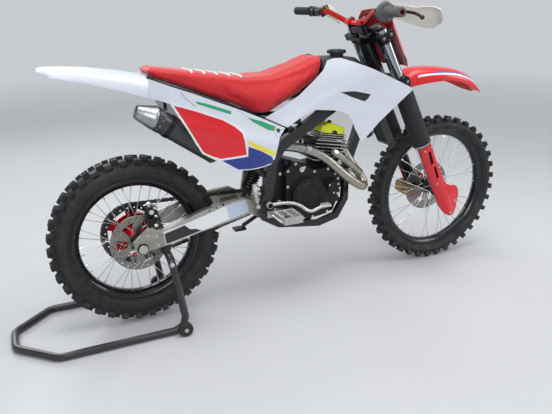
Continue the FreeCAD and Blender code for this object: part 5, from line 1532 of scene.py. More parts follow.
def model_header(settings):
    """Header in heat-tinted steel with its closed side tube, brackets, collar and bolts."""
    header = pipe("header_look", [at(*place) for place in HEADER_ROUTE], settings.pipe_radius,
                  "header", "chassis")
    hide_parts("exhaust_header")
    start, end = at(*UPPER_START), at(*UPPER_END)
    length = (end - start).length
    bm = bmesh.new()
    lathe(bm, [(0, -0.004), (0.008, -0.003), (0.013, 0.001), (0.0155, 0.007), (0.016, 0.014),
               (0.016, length - 0.012), (0.014, length - 0.003), (0.008, length + 0.003),
               (0, length + 0.004)], start, end, 36)
    for low, high in ((at(816, -121, 556), at(845, -119, 590)),
                      (at(868, -120, 507), at(899, -110, 548))):
        along = (high - low).normalized()
        rod(bm, low, high, 0.0065, 14)
        for spot in (low.lerp(high, 0.38), low.lerp(high, 0.62)):
            rod(bm, spot - along * 0.002, spot + along * 0.002, 0.0095, 18)
    collar = at(700, -94, 634)
    ahead = (at(772, -112, 600) - at(630, -74, 652)).normalized()
    lathe(bm, [(0.0185, -0.012), (0.0215, -0.011), (0.0215, -0.004), (0.0205, -0.002),
               (0.0205, 0.002), (0.0215, 0.004), (0.0215, 0.011), (0.0185, 0.012)],
          collar + Vector((0, 0, -0.0005)), collar + ahead, 36)
    fitted("header_fittings", bm, "header", "exhaust_header")
    trim = bmesh.new()
    bolt(trim, at(810, -137, 621), Vector((0.3, -1, 0.5)), 0.006, 0.005)
    for spot in (at(831, -131, 571), at(884, -128, 526)):
        bolt(trim, spot, Vector((0, -1, 0.2)), 0.0052, 0.006)
    fitted("header_bolts", trim, "polished", "exhaust_header")


def model_muffler():
    """Dark round body with seams, a steel inlet cone and a bright conical tail."""
    start, finish = at(*MUFFLER_START), at(*MUFFLER_END)
    length = (finish - start).length
    bm = bmesh.new()
    lathe(bm, [(0.0395, 0.030), (0.0405, 0.028), (0.042, 0.030), (0.0426, 0.032),
               (0.0426, 0.046), (0.042, 0.048), (0.042, length - 0.030),
               (0.0428, length - 0.028), (0.0428, length - 0.012), (0.042, length - 0.010),
               (0.0415, length + 0.002), (0.030, length + 0.003)], start, finish, 56)
    finished("muffler_look", bm, "silencer", "muffler", 40)
    cone = bmesh.new()
    lathe(cone, [(0.0195, -0.004), (0.0205, -0.002), (0.0205, 0.006), (0.030, 0.017),
                 (0.038, 0.027), (0.0398, 0.0315), (0.036, 0.0315)], start, finish, 48)
    fitted("muffler_cone", cone, "header", "muffler")
    tail_end = finish + Vector((-0.92, 0, 0.39)).normalized() * 0.070
    tail = bmesh.new()
    lathe(tail, [(0.040, -0.003), (0.0424, -0.002), (0.0432, 0.001), (0.0432, 0.008),
                 (0.0424, 0.010), (0.0415, 0.012), (0.026, 0.064), (0.0262, 0.067),
                 (0.0245, 0.070), (0.0225, 0.0695), (0.0215, 0.060), (0.0215, 0.030),
                 (0.0, 0.030)], finish, tail_end, 56)
    fitted("muffler_tail", tail, "tail_steel", "muffler", 32)
    axis = (finish - start).normalized()
    rivets = bmesh.new()
    for inset in (0.039, length - 0.020):
        centre = start + axis * inset
        side = axis.orthogonal().normalized()
        for turn in range(12):
            out = Matrix.Rotation(math.tau * turn / 12, 3, axis) @ side
            rod(rivets, centre + out * 0.0415, centre + out * 0.0442, 0.0028, 10, 0.0018)
    fitted("muffler_rivets", rivets, "polished", "muffler")
    hanger = bmesh.new()
    clamp = start.lerp(finish, 0.80)
    lathe(hanger, [(0.0422, -0.009), (0.0442, -0.008), (0.0442, 0.008), (0.0422, 0.009)],
          clamp, clamp + axis, 48)
    block(hanger, clamp + Vector((-0.004, 0.030, 0.030)), clamp + Vector((0.006, 0.046, 0.085)),
          0, 0.0015)
    fitted("muffler_hanger", hanger, "black_metal", "muffler")


def model_intake():
    """Throttle body, its clamps and the coolant hose that show beside the spar."""
    bm = bmesh.new()
    near, far = at(634, -6, 670), at(696, -6, 652)
    lathe(bm, [(0.0245, 0), (0.028, 0.002), (0.028, 0.056), (0.0245, 0.060)], near, far, 40)
    rod(bm, at(662, -26, 662), at(662, -60, 662), 0.017, 24)
    rod(bm, at(662, -60, 662), at(662, -68, 662), 0.011, 24)
    block(bm, at(640, -52, 668), at(690, -34, 690), 0, 0.002)
    for spot in ((676, -64, 700), (702, -64, 712)):
        bolt(bm, at(*spot), RIGHT, 0.0085, 0.006)
        rod(bm, at(spot[0], -66, spot[2]), at(spot[0], -40, spot[2]), 0.005, 12)
    fitted("throttle_body", bm, "cast_alloy", "airbox")
    bands = bmesh.new()
    axis = (far - near).normalized()
    for spot in (near - axis * 0.012, far + axis * 0.012):
        lathe(bands, [(0.0243, -0.004), (0.0258, -0.004), (0.0258, 0.004), (0.0243, 0.004)],
              spot, spot + axis, 36)
    fitted("hose_bands", bands, "steel", "airbox")


def model_radiators(settings):
    """A radiator behind each fork leg, with tanks, core, louvred guard and brackets."""
    core, case = bmesh.new(), bmesh.new()
    for side in (1, -1):
        near, far = side * 0.040, side * 0.120
        block(core, Vector((-0.132, min(near, far), 0.412)), Vector((-0.110, max(near, far), 0.566)),
              0, 0.001)
        for level in (0.396, 0.560):
            block(case, Vector((-0.137, min(near, far) - 0.002, level)),
                  Vector((-0.106, max(near, far) + 0.002, level + 0.020)), 0, 0.004)
        for edge in (near, far):
            block(case, Vector((-0.136, edge - 0.003, 0.404)),
                  Vector((-0.104, edge + 0.003, 0.572)), 0, 0.0015)
        step = 0.140 / settings.louvres
        for row in range(settings.louvres):
            made = bmesh.ops.create_cube(case, size=1)["verts"]
            middle = Vector((-0.1045, (near + far) / 2, 0.424 + row * step))
            for vert in made:
                vert.co = Vector((vert.co.x * 0.0022, vert.co.y * 0.078, vert.co.z * 0.0115))
            bmesh.ops.rotate(case, verts=made, matrix=Matrix.Rotation(0.6, 3, "Y"))
            bmesh.ops.translate(case, verts=made, vec=middle)
        for level in (0.430, 0.540):
            block(case, Vector((-0.130, min(side * 0.016, near), level)),
                  Vector((-0.118, max(side * 0.016, near), level + 0.014)), 0, 0.001)
    lean_with_fork(core, case)
    fitted("radiator_cores", core, "fin_core", "main_frame", 35)
    fitted("radiator_cases", case, "black", "main_frame", 35)


# Swingarm, foot controls and stand


class RearSettings(bpy.types.PropertyGroup):
    """Swingarm, foot controls and the stand's fittings."""
    film_lift: bpy.props.FloatProperty(
        name="Film lift", description="How far a film stands off the swingarm", unit="LENGTH",
        default=0.0005)
    tooth: bpy.props.FloatProperty(
        name="Peg tooth", description="Height of a footpeg's teeth", unit="LENGTH",
        default=0.006)
    nut_radius: bpy.props.FloatProperty(
        name="Nut radius", description="Half the width of the rear axle nut", unit="LENGTH",
        default=0.0165)


# Distance of the swingarm's outer face from the bike's middle at places along it, in mm
ARM_FACE = [(-40, 114), (250, 112), (420, 97), (465, 86), (530, 86)]
ARM_FILM = [(82, 392), (125, 401), (170, 411), (250, 432), (330, 452), (376, 459), (420, 463),
            (430, 440), (436, 412), (385, 402), (327, 390), (280, 380), (230, 371), (167, 355),
            (88, 339)]
ARM_PATCH = [(85, 384), (124, 394), (165, 405), (178, 392), (186, 385), (208, 383), (230, 373),
             (167, 358), (90, 342)]
ARM_FRONT = [(336, 452), (376, 458), (419, 461), (429, 440), (434, 414), (385, 405), (350, 397)]
ARM_GRID = 0.02  # metres between the cuts that let a sheet follow the arm
END_PLATE = [(-22, 322), (-26, 360), (-14, 378), (24, 404), (40, 402), (72, 390), (78, 384),
             (80, 338), (40, 330)]


def arm_level(x, z):
    """Outer face of the swingarm along its length, the same at every height."""
    for (x0, y0), (x1, y1) in zip(ARM_FACE, ARM_FACE[1:]):
        if x <= x1:
            return y0 + (y1 - y0) * (x - x0) / (x1 - x0)
    return ARM_FACE[-1][1]


class MOTO_OT_rear(bpy.types.Operator):
    """Model the swingarm's films and axle ends, the foot controls and the stand's fittings"""
    bl_idname = "moto.rear"
    bl_label = "Rear end"

    def execute(self, context):
        settings = context.scene.moto_rear
        model_arm(settings)
        model_rear_caliper()
        model_foot_controls()
        model_pegs(settings)
        model_stand_fittings()
        return {"FINISHED"}


def arm_film(name, outline, finish, lift, thick):
    """Thin sheet on the outer face of both arms."""
    bm = paired_sheets(outline, [], arm_level, ARM_GRID, lift, thick)
    return fitted(name, bm, finish, "swingarm")


def model_arm(settings):
    """Satin swingarm with its films, cast axle ends, adjusters and axle nuts."""
    dress("swingarm", "arm", 0.003)
    lift = settings.film_lift
    arm_film("arm_film", ARM_FILM, "pure_white", lift, 0.0004)
    arm_film("arm_patch", ARM_PATCH, "black", lift * 2, 0.0004)
    arm_film("arm_front_film", ARM_FRONT, "pale_blue", lift * 2, 0.0004)
    ends = arm_film("arm_ends", END_PLATE, "khaki_cast", 0.0042, 0.0042)
    soften(ends, 0.0012, 2, 60)
    fittings = bmesh.new()
    dark = bmesh.new()
    for side in (1, -1):
        out = Vector((0, side, 0))
        rod(fittings, at(-18, side * 101, 333), at(-42, side * 101, 326), 0.0042, 12)
        bolt(fittings, at(-40, side * 101, 326.6), Vector((-0.96, 0, -0.28)), 0.0085, 0.008)
        rod(dark, at(0, side * 118.4, 340), at(0, side * 120.6, 340), 0.021, 32)
        for x, z in ((54, 380), (58, 346), (22, 388)):
            bolt(fittings, at(x, side * 118.4, z), out, 0.0042, 0.0035)
    rod(fittings, at(0, -120.6, 340), at(0, -128.6, 340), settings.nut_radius, 6)
    rod(fittings, at(0, -128, 340), at(0, -131, 340), 0.0075, 20)
    rod(fittings, at(0, 128, 340), at(0, 130.5, 340), 0.012, 6)
    fitted("arm_fittings", fittings, "steel", "rear_axle")
    bolt(dark, at(500, -89.7, 398), RIGHT, 0.012, 0.006)
    for x in (330, 300, 270):
        rod(dark, at(x, -112 + (x - 250) * 0.088, 462 - (345 - x) * 0.22),
            at(x - 6, -100, 462 - (345 - x) * 0.22), 0.005, 12)
    fitted("arm_washers", dark, "black_metal", "rear_axle")


def model_rear_caliper():
    """Dark caliper with bright pins, union and dust caps."""
    dress("rear_caliper", "black_metal", 0.003)
    bright = bmesh.new()
    lathe(bright, [(0, 0.005), (0.009, 0.005), (0.0105, 0.003), (0.0105, -0.002)],
          at(50, -80, 466), at(50, -81, 466), 24)
    for x, y, z, radius in ((66, -80, 446, 0.0055), (44, -100, 404, 0.006),
                            (60, -100, 418, 0.006), (44, -80, 440, 0.005)):
        bolt(bright, at(x, y, z), RIGHT, radius, 0.006)
    rod(bright, at(46, -70, 486), at(44, -70, 496), 0.006, 16)
    bolt(bright, at(44.4, -70, 494), Vector((-0.2, 0, 1)), 0.007, 0.007)
    rod(bright, at(56, -84, 484), at(74, -84, 478), 0.0075, 16)
    fitted("rear_caliper_pins", bright, "polished", "rear_caliper")


def model_foot_controls():
    """Curved brake pedal, gear lever and the upright master cylinder."""
    pedal = pipe("brake_pedal", [at(*place) for place in (
        (508, -138, 440), (560, -141, 442), (604, -145, 437), (640, -148, 422),
        (668, -150, 397), (692, -150, 388), (716, -150, 396), (738, -150, 403),
        (752, -150, 405))], 0.0068, "cast_alloy", "chassis")
    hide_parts("foot_levers")
    gear = pipe("gear_lever", [at(*place) for place in (
        (698, 56, 398), (698, 140, 398), (698, 157, 398), (716, 158, 402), (800, 160, 424),
        (806, 160, 426))], 0.006, "cast_alloy", "chassis")
    bm = bmesh.new()
    block(bm, at(736, -166, 401), at(776, -134, 409), 0, 0.0015)
    for row in range(5):
        for column in range(4):
            spot = at(740 + row * 8, -163 + column * 8.7, 409)
            rod(bm, spot, spot + Vector((0, 0, 0.0035)), 0.0028, 4, 0.0012)
    lathe(bm, [(0, -0.002), (0.012, -0.002), (0.0135, 0), (0.0135, 0.018), (0.012, 0.020),
               (0, 0.020)], at(508, -129, 440), at(508, -130, 440), 28)
    lathe(bm, [(0, 0), (0.0075, 0), (0.0085, 0.002), (0.0085, 0.028), (0.0075, 0.030),
               (0, 0.030)], at(808, 152, 426), at(808, 153, 426), 20)
    low, high = at(464, -119, 452), at(452, -119, 530)
    lathe(bm, [(0, 0), (0.008, 0), (0.0095, 0.002), (0.0095, 0.030), (0.0118, 0.033),
               (0.0118, 0.062), (0.0100, 0.065), (0.0100, 0.074), (0.0065, 0.077),
               (0.0065, 0.079), (0, 0.079)], low, high, 28)
    axis = (high - low).normalized()
    for share in (0.48, 0.74):
        spot = low.lerp(high, share)
        rod(bm, spot, spot + Vector((0.016, 0, 0.001)), 0.006, 16)
        bolt(bm, spot + Vector((0.012, -0.008, 0)), RIGHT, 0.0048, 0.005)
    rod(bm, low, low - axis * 0.016, 0.0035, 12)
    bolt(bm, low + Vector((0, -0.009, -0.016)), RIGHT, 0.007, 0.006)
    fitted("foot_control_parts", bm, "cast_alloy", "foot_levers")
    plate = bmesh.new()
    block(plate, at(462, -120, 478), at(498, -114.5, 516), 0, 0.0012)
    bolt(plate, at(508, -148, 440), RIGHT, 0.008, 0.006)
    fitted("foot_control_bracket", plate, "black_metal", "foot_levers")


def model_pegs(settings):
    """Open footpegs with rows of sharp teeth, and their pins."""
    dress("footpegs", "steel", 0.0008)
    bm = bmesh.new()
    for side in (1, -1):
        for step in range(13):
            across = 134 + step * 8.2
            for x0, x1 in ((526, 531), (566, 566), (608, 603)):
                spot = at(x0 + (x1 - x0) * step / 12, side * across, 405)
                made = rod(bm, spot, spot + Vector((0, 0, settings.tooth + 0.004)), 0.0046, 4,
                           0.0008)
                bmesh.ops.rotate(bm, verts=made, cent=spot,
                                 matrix=Matrix.Rotation(0.25 if step % 2 else -0.25, 3, "Y"))
        for x in (540, 552, 580, 592):
            spot = at(x, side * 236, 405)
            rod(bm, spot, spot + Vector((0, 0, settings.tooth + 0.004)), 0.0046, 4, 0.0008)
        rod(bm, at(514, side * 121, 398), at(560, side * 121, 398), 0.005, 14)
        rod(bm, at(535, side * 134, 380), at(535, side * 134, 420), 0.0055, 16)
        bolt(bm, at(535, side * 134, 419), UP, 0.006, 0.004)
        for edge in (518, 616):
            for step in range(6):
                spot = at(edge, side * (146 + step * 16), 396)
                out = Vector((-1 if edge < 560 else 1, 0, 0.35)).normalized()
                rod(bm, spot - out * 0.002, spot + out * 0.005, 0.0042, 4, 0.001)
    fitted("peg_teeth", bm, "steel", "footpegs", 30)


def model_stand_fittings():
    """Pick-up bolts, roller washers and rubber feet of the stand."""
    dress("paddock_stand", "stand", 0)
    grey = bmesh.new()
    for side in (1, -1):
        out = Vector((0, side, 0))
        spot = at(88, side * 189, 284)
        lathe(grey, [(0, 0.0075), (0.004, 0.0070), (0.0085, 0.0045), (0.0105, 0),
                     (0.0105, -0.006)], spot, spot + out, 24)
        hub = at(112, side * 237.4, 28)
        bolt(grey, hub, out, 0.007, 0.004)
    fitted("stand_bolts", grey, "steel", "paddock_stand")
    for side, node in ((1, "stand_roller_left"), (-1, "stand_roller_right")):
        dress(node, "rubber", 0.0015)
    pads = bmesh.new()
    for side in (1, -1):
        block(pads, at(70, side * 101 - 8, 304), at(102, side * 101 + 8, 316), 0, 0.002)
    fitted("stand_pads", pads, "rubber", "paddock_stand")


# Front end, in millimetres across and along the steering axis


class FrontSettings(bpy.types.PropertyGroup):
    """Fork, handlebar, guards and number plate."""
    ribs: bpy.props.IntProperty(
        name="Gaiter ribs", description="Folds in each fork gaiter", default=24)
    grip_ribs: bpy.props.IntProperty(
        name="Grip ribs", description="Rings round each grip", default=15)
    sheet: bpy.props.FloatProperty(
        name="Sheet", description="Thickness of the moulded guards and plate", unit="LENGTH",
        default=0.004)


BAR_BEND, BAR_END = Vector((-18, 175, 944)), Vector((-52, 405, 964))
# Metres along the bar from its end to a lever's middle, and the lever's places from there
LEVER_PLACE = 0.167
LEVER_ROUTE = [(0.024, 0.000, 0.010), (0.036, 0.012, 0.014), (0.050, 0.030, 0.020),
               (0.060, 0.062, 0.028), (0.066, 0.100, 0.036), (0.062, 0.130, 0.044),
               (0.058, 0.146, 0.048)]
GUARD_PLAN = [(205, -4), (214, 6), (258, 48), (300, 76), (370, 98), (428, 88)]
GUARD_FACE = [(205, 922), (230, 897), (262, 866), (279, 851), (296, 840), (318, 830),
              (342, 827), (384, 843), (416, 860), (421, 878), (419, 900), (360, 910),
              (300, 917), (268, 934), (240, 952), (205, 960)]
PLATE_PLAN = [(-136, 64), (-119, 83), (-62, 102), (0, 104), (62, 102), (119, 83), (136, 64)]
PLATE_FACE = [(-90, 643), (0, 640), (90, 643), (116, 678), (137, 722), (138, 780), (137, 838),
              (122, 872), (100, 894), (0, 898), (-100, 894), (-122, 872), (-137, 838),
              (-138, 780), (-137, 722), (-116, 678)]
LEG_GUARD = [(-8.6, 292), (0, 298), (25, 302), (50, 300), (51, 190), (52, 86), (62, 60),
             (76, 42), (92, 34), (103, 24), (107, 4), (103, -18), (92, -38), (76, -60),
             (64, -80), (50, -93), (32, -96), (14, -91), (0, -74), (-7, -50), (-8.6, 60),
             (-8.6, 180)]
LEG_SLOTS = [[(16, 120), (30, 124), (34, 178), (22, 184)],
             [(14, 198), (30, 202), (33, 262), (18, 266)]]


class MOTO_OT_front(bpy.types.Operator):
    """Model the fork, its gaiters and guards, the bar with its controls, and the plate"""
    bl_idname = "moto.front"
    bl_label = "Front end"

    def execute(self, context):
        settings = context.scene.moto_front
        model_fork(settings)
        model_leg_guards(settings)
        model_clamps()
        model_grips(settings)
        model_controls()
        model_handguards(settings)
        model_plate(settings)
        model_fuel_cap()
        return {"FINISHED"}


def model_fork(settings):
    """Bright upper tubes, ribbed gaiters, dark lower legs, axle ends and the front caliper."""
    dress("fork_tubes", "fork_tube", 0.001)
    dress("fork_lowers", "black_metal", 0.002)
    dress("front_axle", "steel", 0.0008)
    dress("front_caliper", "gold", 0.003)
    gaiters, trim, dark = bmesh.new(), bmesh.new(), bmesh.new()
    step = (588 - 296) / settings.ribs
    for side in (1, -1):
        outline = [(22.6, 296), (38, 296)]
        for rib in range(settings.ribs):
            low = 297 + rib * step
            outline += [(36.8, low), (40.6, low + step * 0.35), (40.6, low + step * 0.6)]
        outline += [(34, 587), (22.6, 587)]
        foot = on_fork(24, side * 105, 0)
        ring_on(gaiters, outline, foot, FORK_UP)
        for level in (304, 574):
            ring_on(trim, [(40.8, level - 3), (41.8, level - 3), (41.8, level + 3),
                           (40.8, level + 3)], foot, FORK_UP)
        ring_on(dark, [(24.4, 622.5), (29, 622.5), (29, 634), (27, 637), (24.4, 637)], foot, FORK_UP)
        ring_on(dark, [(24.4, 790), (26.5, 790), (26.5, 805.5), (24.4, 805.5)], foot, FORK_UP)
        cap = on_fork(24, side * 105, 848)
        rod(dark, cap, cap + FORK_UP * 0.009, 0.019, 8, 0.018)
        rod(trim, cap + FORK_UP * 0.008, cap + FORK_UP * 0.014, 0.0065, 16)
        out = Vector((0, side, 0))
        for forward, level in ((86, 14), (86, -14)):
            bolt(trim, on_fork(forward, side * 118, level), out, 0.0045, 0.005)
        hub = on_fork(59, side * 129, 0)
        lathe(trim, [(0.0065, 0.003), (0.0125, 0.003), (0.014, 0.0015), (0.014, -0.002)], hub,
              hub + out, 24)
    finished("fork_gaiters_look", gaiters, "rubber", "fork_gaiters", 32)
    fitted("fork_trim", trim, "steel", "front_axle")
    fitted("fork_collars", dark, "black_metal", "fork_tubes")
    bolts = bmesh.new()
    for forward, level in ((-58, 40), (-58, 84), (-22, 42), (-34, 78)):
        bolt(bolts, on_fork(forward, 88, level), LEFT, 0.006, 0.006)
        rod(bolts, on_fork(forward, 36.5, level), on_fork(forward, 38.5, level), 0.007, 16)
    fitted("front_caliper_bolts", bolts, "steel", "front_caliper")


def guard_level(x, up):
    """Outer face of a leg guard, wrapped round the leg behind and flat ahead of it."""
    if x < 24:
        level = 105 + math.sqrt(max(0, 33.3 ** 2 - (x - 24) ** 2))
    else:
        level = 138.3 - min(9, 0.012 * (x - 24) ** 2)
    boss = 4 * math.exp(-((x - 59) ** 2 + up ** 2) / 900)
    collar = 3.5 * min(1, max(0, (up - 240) / 8))
    return level + boss + collar


def model_leg_guards(settings):
    """Red leg guards that wrap round the fork legs, with slots and bolts."""
    bm, bolts = bmesh.new(), bmesh.new()
    for side in (1, -1):
        one = sheet(LEG_GUARD, LEG_SLOTS, 0.008)
        for vert in one.verts:
            x, up = vert.co.x * 1000, vert.co.z * 1000
            vert.co = Vector((x, side * guard_level(x, up), up)) / 1000
        face_away(one, Vector((0, side, 0)))
        bmesh.ops.solidify(one, geom=one.faces[:], thickness=settings.sheet)
        add_mesh(bm, one)
        for x, up in ((8, 276), (42, 276), (10, 96), (24, -78), (70, -42)):
            bolt(bolts, Vector((x, side * guard_level(x, up), up)) / 1000,
                 Vector((0, side, 0)), 0.0042, 0.004)
    lean_with_fork(bm, bolts)
    piece = finished("fork_guards_look", bm, "red", "fork_guards", 40)
    soften(piece, 0.0010, 2, 60)
    fitted("fork_guard_bolts", bolts, "steel", "fork_guards")


def model_clamps():
    """Black clamps with pinch bolts, the stem nut and the bar's mount."""
    dress("fork_clamps", "black_metal", 0.003)
    dress("handlebar", "bar", 0.0006)
    bolts, mount = bmesh.new(), bmesh.new()
    for side in (1, -1):
        for forward in (6, 42):
            for level in (607, 819):
                bolt(bolts, on_fork(forward, side * 136, level), Vector((0, side, 0)), 0.0052,
                     0.006)
        for forward in (-21, 5):
            bolt(bolts, on_fork(forward, side * 48, 907.4), FORK_UP, 0.0045, 0.005)
    lathe(bolts, [(0, 0.012), (0.013, 0.012), (0.015, 0.010), (0.015, 0.004), (0.019, 0.003),
                  (0.019, 0)], on_fork(0, 0, 832), on_fork(0, 0, 833), 6)
    fitted("clamp_bolts", bolts, "steel", "fork_clamps")
    block(mount, Vector((-0.021, -0.046, 0.848)), Vector((0.005, 0.046, 0.879)), 0, 0.004)
    for side in (1, -1):
        block(mount, Vector((-0.030, side * 0.048 - 0.019, 0.8325)),
              Vector((0.014, side * 0.048 + 0.019, 0.845)), 0, 0.003)
        block(mount, Vector((0.006, side * 0.060 - 0.026, 0.836)),
              Vector((0.050, side * 0.060 + 0.016, 0.862)), 0, 0.004)
    lean_with_fork(mount)
    fitted("bar_mount", mount, "black", "fork_clamps")


def bar_frame(side):
    """Place of the bar's end and the direction along the bar towards the middle."""
    end = on_fork(BAR_END.x, side * BAR_END.y, BAR_END.z)
    bend = on_fork(BAR_BEND.x, side * BAR_BEND.y, BAR_BEND.z)
    return end, (bend - end).normalized()


def model_grips(settings):
    """Rubber grips with rings and a closed rim round the open end of the bar."""
    for side, name, finish in ((1, "grip_left", "rubber"), (-1, "grip_right", "grip")):
        bm = bmesh.new()
        end, inward = bar_frame(side)
        outline = [(11.1, 0), (8.4, 0), (8.4, -2), (14, -2), (17, 0.5)]
        step = 96 / settings.grip_ribs
        for ring in range(settings.grip_ribs):
            near = 6 + ring * step
            outline += [(17, near), (17, near + step * 0.55), (15.8, near + step * 0.7),
                        (15.8, near + step * 0.9)]
        outline += [(17, 104), (18, 108), (22.5, 112), (22.5, 115), (17, 116), (11.1, 116)]
        ring_on(bm, outline, end, inward, 36)
        finished(name, bm, finish, "grips", 35)


def model_controls():
    """Perches, throttle drum, small cylinder and switch on the bar, and both levers."""
    dark, grey, bright = bmesh.new(), bmesh.new(), bmesh.new()
    for side in (1, -1):
        end, inward = bar_frame(side)
        clamp_perch(dark, bright, end, inward)
        if side < 0:
            fit_throttle(dark, grey, bright, end, inward)
        else:
            fit_switch(dark, bright, end + inward * 0.132, inward)
    finished("bar_controls_look", dark, "black", "bar_controls", 40)
    fitted("throttle_drum", grey, "grip", "bar_controls", 35)
    fitted("control_screws", bright, "steel", "bar_controls")
    for side, name in ((1, "clutch_lever"), (-1, "brake_lever")):
        model_lever(name, side)


def clamp_perch(dark, bright, end, inward):
    """Lever perch clamped on the bar, with its pivot and screws."""
    ring_on(dark, [(11.1, 1), (15, 1), (17, 3), (17, 31), (15, 33), (11.1, 33)],
            end + inward * 0.150, inward)
    middle = end + inward * LEVER_PLACE
    ahead, up = FORK_AHEAD, FORK_UP
    rod(dark, middle + ahead * 0.008, middle + ahead * 0.030 - up * 0.006, 0.0105, 18)
    rod(dark, middle + ahead * 0.028 + up * 0.008, middle + ahead * 0.028 - up * 0.020,
        0.009, 20)
    bolt(bright, middle + ahead * 0.028 + up * 0.008, up, 0.0055, 0.004)
    for spot in (-0.011, 0.011):
        bolt(bright, middle + inward * spot + up * 0.0165, up, 0.0036, 0.004)


def fit_throttle(dark, grey, bright, end, inward):
    """Throttle drum with its cable guide, and the brake's small cylinder."""
    ahead, up = FORK_AHEAD, FORK_UP
    ring_on(grey, [(11.1, 118), (29, 118), (33, 120), (34, 123), (34, 133), (32.5, 134),
                   (32.5, 136), (34, 137), (34, 146), (32, 149), (24, 150), (11.1, 150)],
            end, inward, 56)
    guide = end + inward * 0.134
    rod(grey, guide + ahead * 0.024 - up * 0.012, guide + ahead * 0.052 - up * 0.022, 0.011,
        20, 0.007)
    for turn in range(3):
        angle = math.tau * turn / 3 + 0.5
        spot = end + inward * 0.1185 + ahead * 0.026 * math.cos(angle)
        bolt(bright, spot + up * 0.026 * math.sin(angle), -inward, 0.0030, 0.003)
    tank = end + inward * (LEVER_PLACE + 0.006) + ahead * 0.030 + up * 0.016
    rod(dark, tank - up * 0.014, tank + up * 0.010, 0.0135, 28)
    rod(bright, tank + up * 0.010, tank + up * 0.0125, 0.0130, 28)


def fit_switch(dark, bright, box, inward):
    """Round switch box with its button."""
    ring_on(dark, [(11.1, -7), (19, -7), (21, -5), (21, 9), (19, 11), (11.1, 11)], box, inward)
    rod(bright, box - FORK_UP * 0.014 + FORK_AHEAD * 0.010,
        box - FORK_UP * 0.030 + FORK_AHEAD * 0.014, 0.005, 14)


def model_lever(name, side):
    """Curved hand lever with a ball at its end."""
    end, inward = bar_frame(side)
    root = end + inward * LEVER_PLACE
    route = [root + FORK_AHEAD * x - FORK_UP * z + Vector((0, side * y, 0))
             for x, y, z in LEVER_ROUTE]
    lever = pipe(name, route, 0.0058, "lever", "steering")
    tip = bmesh.new()
    made = bmesh.ops.create_uvsphere(tip, u_segments=20, v_segments=12, radius=0.0085)
    bmesh.ops.translate(tip, verts=made["verts"], vec=route[-1])
    fitted(name + "_ball", tip, "lever", "bar_controls", 60)


def model_handguards(settings):
    """Cream shields, each curved round the hand and clamped on the bar by its arm."""
    bm, dark = bmesh.new(), bmesh.new()
    for side in (1, -1):
        one = sheet(GUARD_FACE, [], 0.012)
        for vert in one.verts:
            across, level = vert.co.x * 1000, vert.co.z * 1000
            crease = 3 * math.exp(-((level - 892) / 14) ** 2)
            vert.co = Vector((through(GUARD_PLAN, across) + crease, side * across,
                              level)) / 1000
        face_away(one, AHEAD)
        bmesh.ops.solidify(one, geom=one.faces[:], thickness=settings.sheet)
        add_mesh(bm, one)
        block(dark, Vector((-0.038, side * 0.2135 - 0.0065, 0.927)),
              Vector((0.006, side * 0.2135 + 0.0065, 0.965)), 0, 0.002)
        bolt(dark, Vector((0.004, side * 0.2135, 0.953)), AHEAD, 0.004, 0.004)
    lean_with_fork(bm, dark)
    piece = finished("handguards_look", bm, "cream", "handguards", 40)
    soften(piece, 0.0012, 2, 60)
    fitted("handguard_clamps", dark, "black", "handguards")


def model_plate(settings):
    """Blank curved plate with softened edges and two screws, its back painted a darker red as
    painted shade.
    """
    one = sheet(PLATE_FACE, [], 0.016)
    for vert in one.verts:
        across, level = vert.co.x * 1000, vert.co.z * 1000
        vert.co = Vector((through(PLATE_PLAN, across), across, level)) / 1000
    face_away(one, AHEAD)
    bmesh.ops.solidify(one, geom=one.faces[:], thickness=settings.sheet)
    block(one, Vector((0.055, -0.03, 0.810)), Vector((0.1, 0.03, 0.828)), 0, 0.002)
    lean_with_fork(one)
    one.normal_update()
    # Faces turned away from the front take the darker red, a painted shade on the plate's back
    for face in one.faces:
        face.material_index = 1 if face.normal.dot(FORK_AHEAD) < -0.3 else 0
    piece = finished("number_plate_look", one, ("red", "red_in_painted_shade"), "number_plate", 40)
    soften(piece, 0.0012, 2, 60)
    screws = bmesh.new()
    for across in (-16, 16):
        bolt(screws, Vector((0.104, across / 1000, 0.819)), AHEAD, 0.005, 0.004)
    lean_with_fork(screws)
    fitted("plate_screws", screws, "black_metal", "number_plate")


def model_fuel_cap():
    """Wide ribbed screw cap on its neck."""
    bm = bmesh.new()
    foot = at(880, 0, 984)
    ring_on(bm, [(0.1, 3), (27, 3), (28, 8), (28, 14), (36, 15), (38, 17), (38, 26), (36, 29),
                 (28, 30), (26, 27), (12, 27), (10, 30), (0.1, 30)], foot, UP, 48)
    for turn in range(30):
        angle = math.tau * turn / 30
        out = Vector((math.cos(angle), math.sin(angle), 0)) * 0.038
        rod(bm, foot + out + UP * 0.017, foot + out + UP * 0.026, 0.0016, 8)
    finished("fuel_cap_look", bm, "black", "fuel_cap", 35)


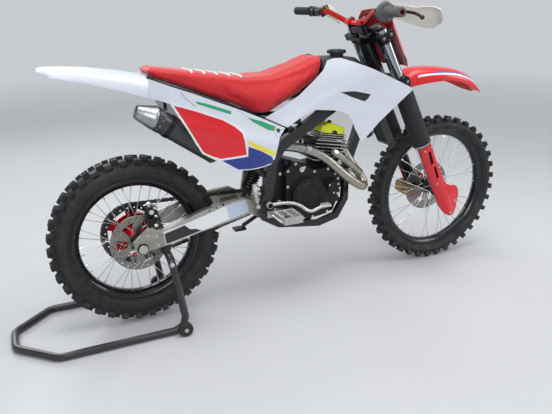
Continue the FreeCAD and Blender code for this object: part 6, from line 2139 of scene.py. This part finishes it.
class MOTO_OT_plain_pieces(bpy.types.Operator):
    """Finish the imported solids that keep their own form"""
    bl_idname = "moto.plain_pieces"
    bl_label = "Solids kept in form"

    def execute(self, context):
        for node, finish, edge in (
                ("main_frame", "frame", 0.005), ("subframe", "frame", 0),
                ("airbox", "black", 0.004), ("fuel_tank", "black", 0.008),
                ("shock_absorber", "black_metal", 0.002), ("rear_axle", "steel", 0.001),
                ("side_stand", "black_metal", 0.002)):
            dress(node, finish, edge)
        return {"FINISHED"}


class MOTO_PT_panel(bpy.types.Panel):
    """Shows the operators and their settings"""
    bl_idname = "MOTO_PT_panel"
    bl_label = "Motorcycle"
    bl_space_type = "VIEW_3D"
    bl_region_type = "UI"
    bl_category = "Motorcycle"

    def draw(self, context):
        """Show a button for each operator and every setting."""
        for operator in OPERATORS:
            self.layout.operator(operator.bl_idname)
        for item in SETTINGS:
            group = getattr(context.scene, item)
            for key in type(group).__annotations__:
                self.layout.prop(group, key)


SETTINGS = {"moto_stage": StageSettings, "moto_wheels": WheelSettings,
            "moto_chain": ChainSettings, "moto_covers": CoverSettings,
            "moto_seat": SeatSettings, "moto_fenders": FenderSettings,
            "moto_engine": EngineSettings, "moto_rear": RearSettings,
            "moto_front": FrontSettings}
OPERATORS = [MOTO_OT_stage, MOTO_OT_wheels, MOTO_OT_chain, MOTO_OT_covers, MOTO_OT_seat,
             MOTO_OT_fenders, MOTO_OT_engine, MOTO_OT_rear, MOTO_OT_front, MOTO_OT_plain_pieces]


def register():
    """Add the settings, operators and panel."""
    for item in list(SETTINGS.values()) + OPERATORS + [MOTO_PT_panel]:
        bpy.utils.register_class(item)
    for name, kind in SETTINGS.items():
        setattr(bpy.types.Scene, name, bpy.props.PointerProperty(type=kind))


def unregister():
    """Take them away again."""
    for name in SETTINGS:
        delattr(bpy.types.Scene, name)
    for item in [MOTO_PT_panel] + OPERATORS[::-1] + list(SETTINGS.values()):
        bpy.utils.unregister_class(item)


def main():
    """Make every piece."""
    register()
    make_materials()
    for operator in OPERATORS:
        getattr(bpy.ops.moto, operator.bl_idname.split(".")[1])()


if __name__ == "__main__":
    main()
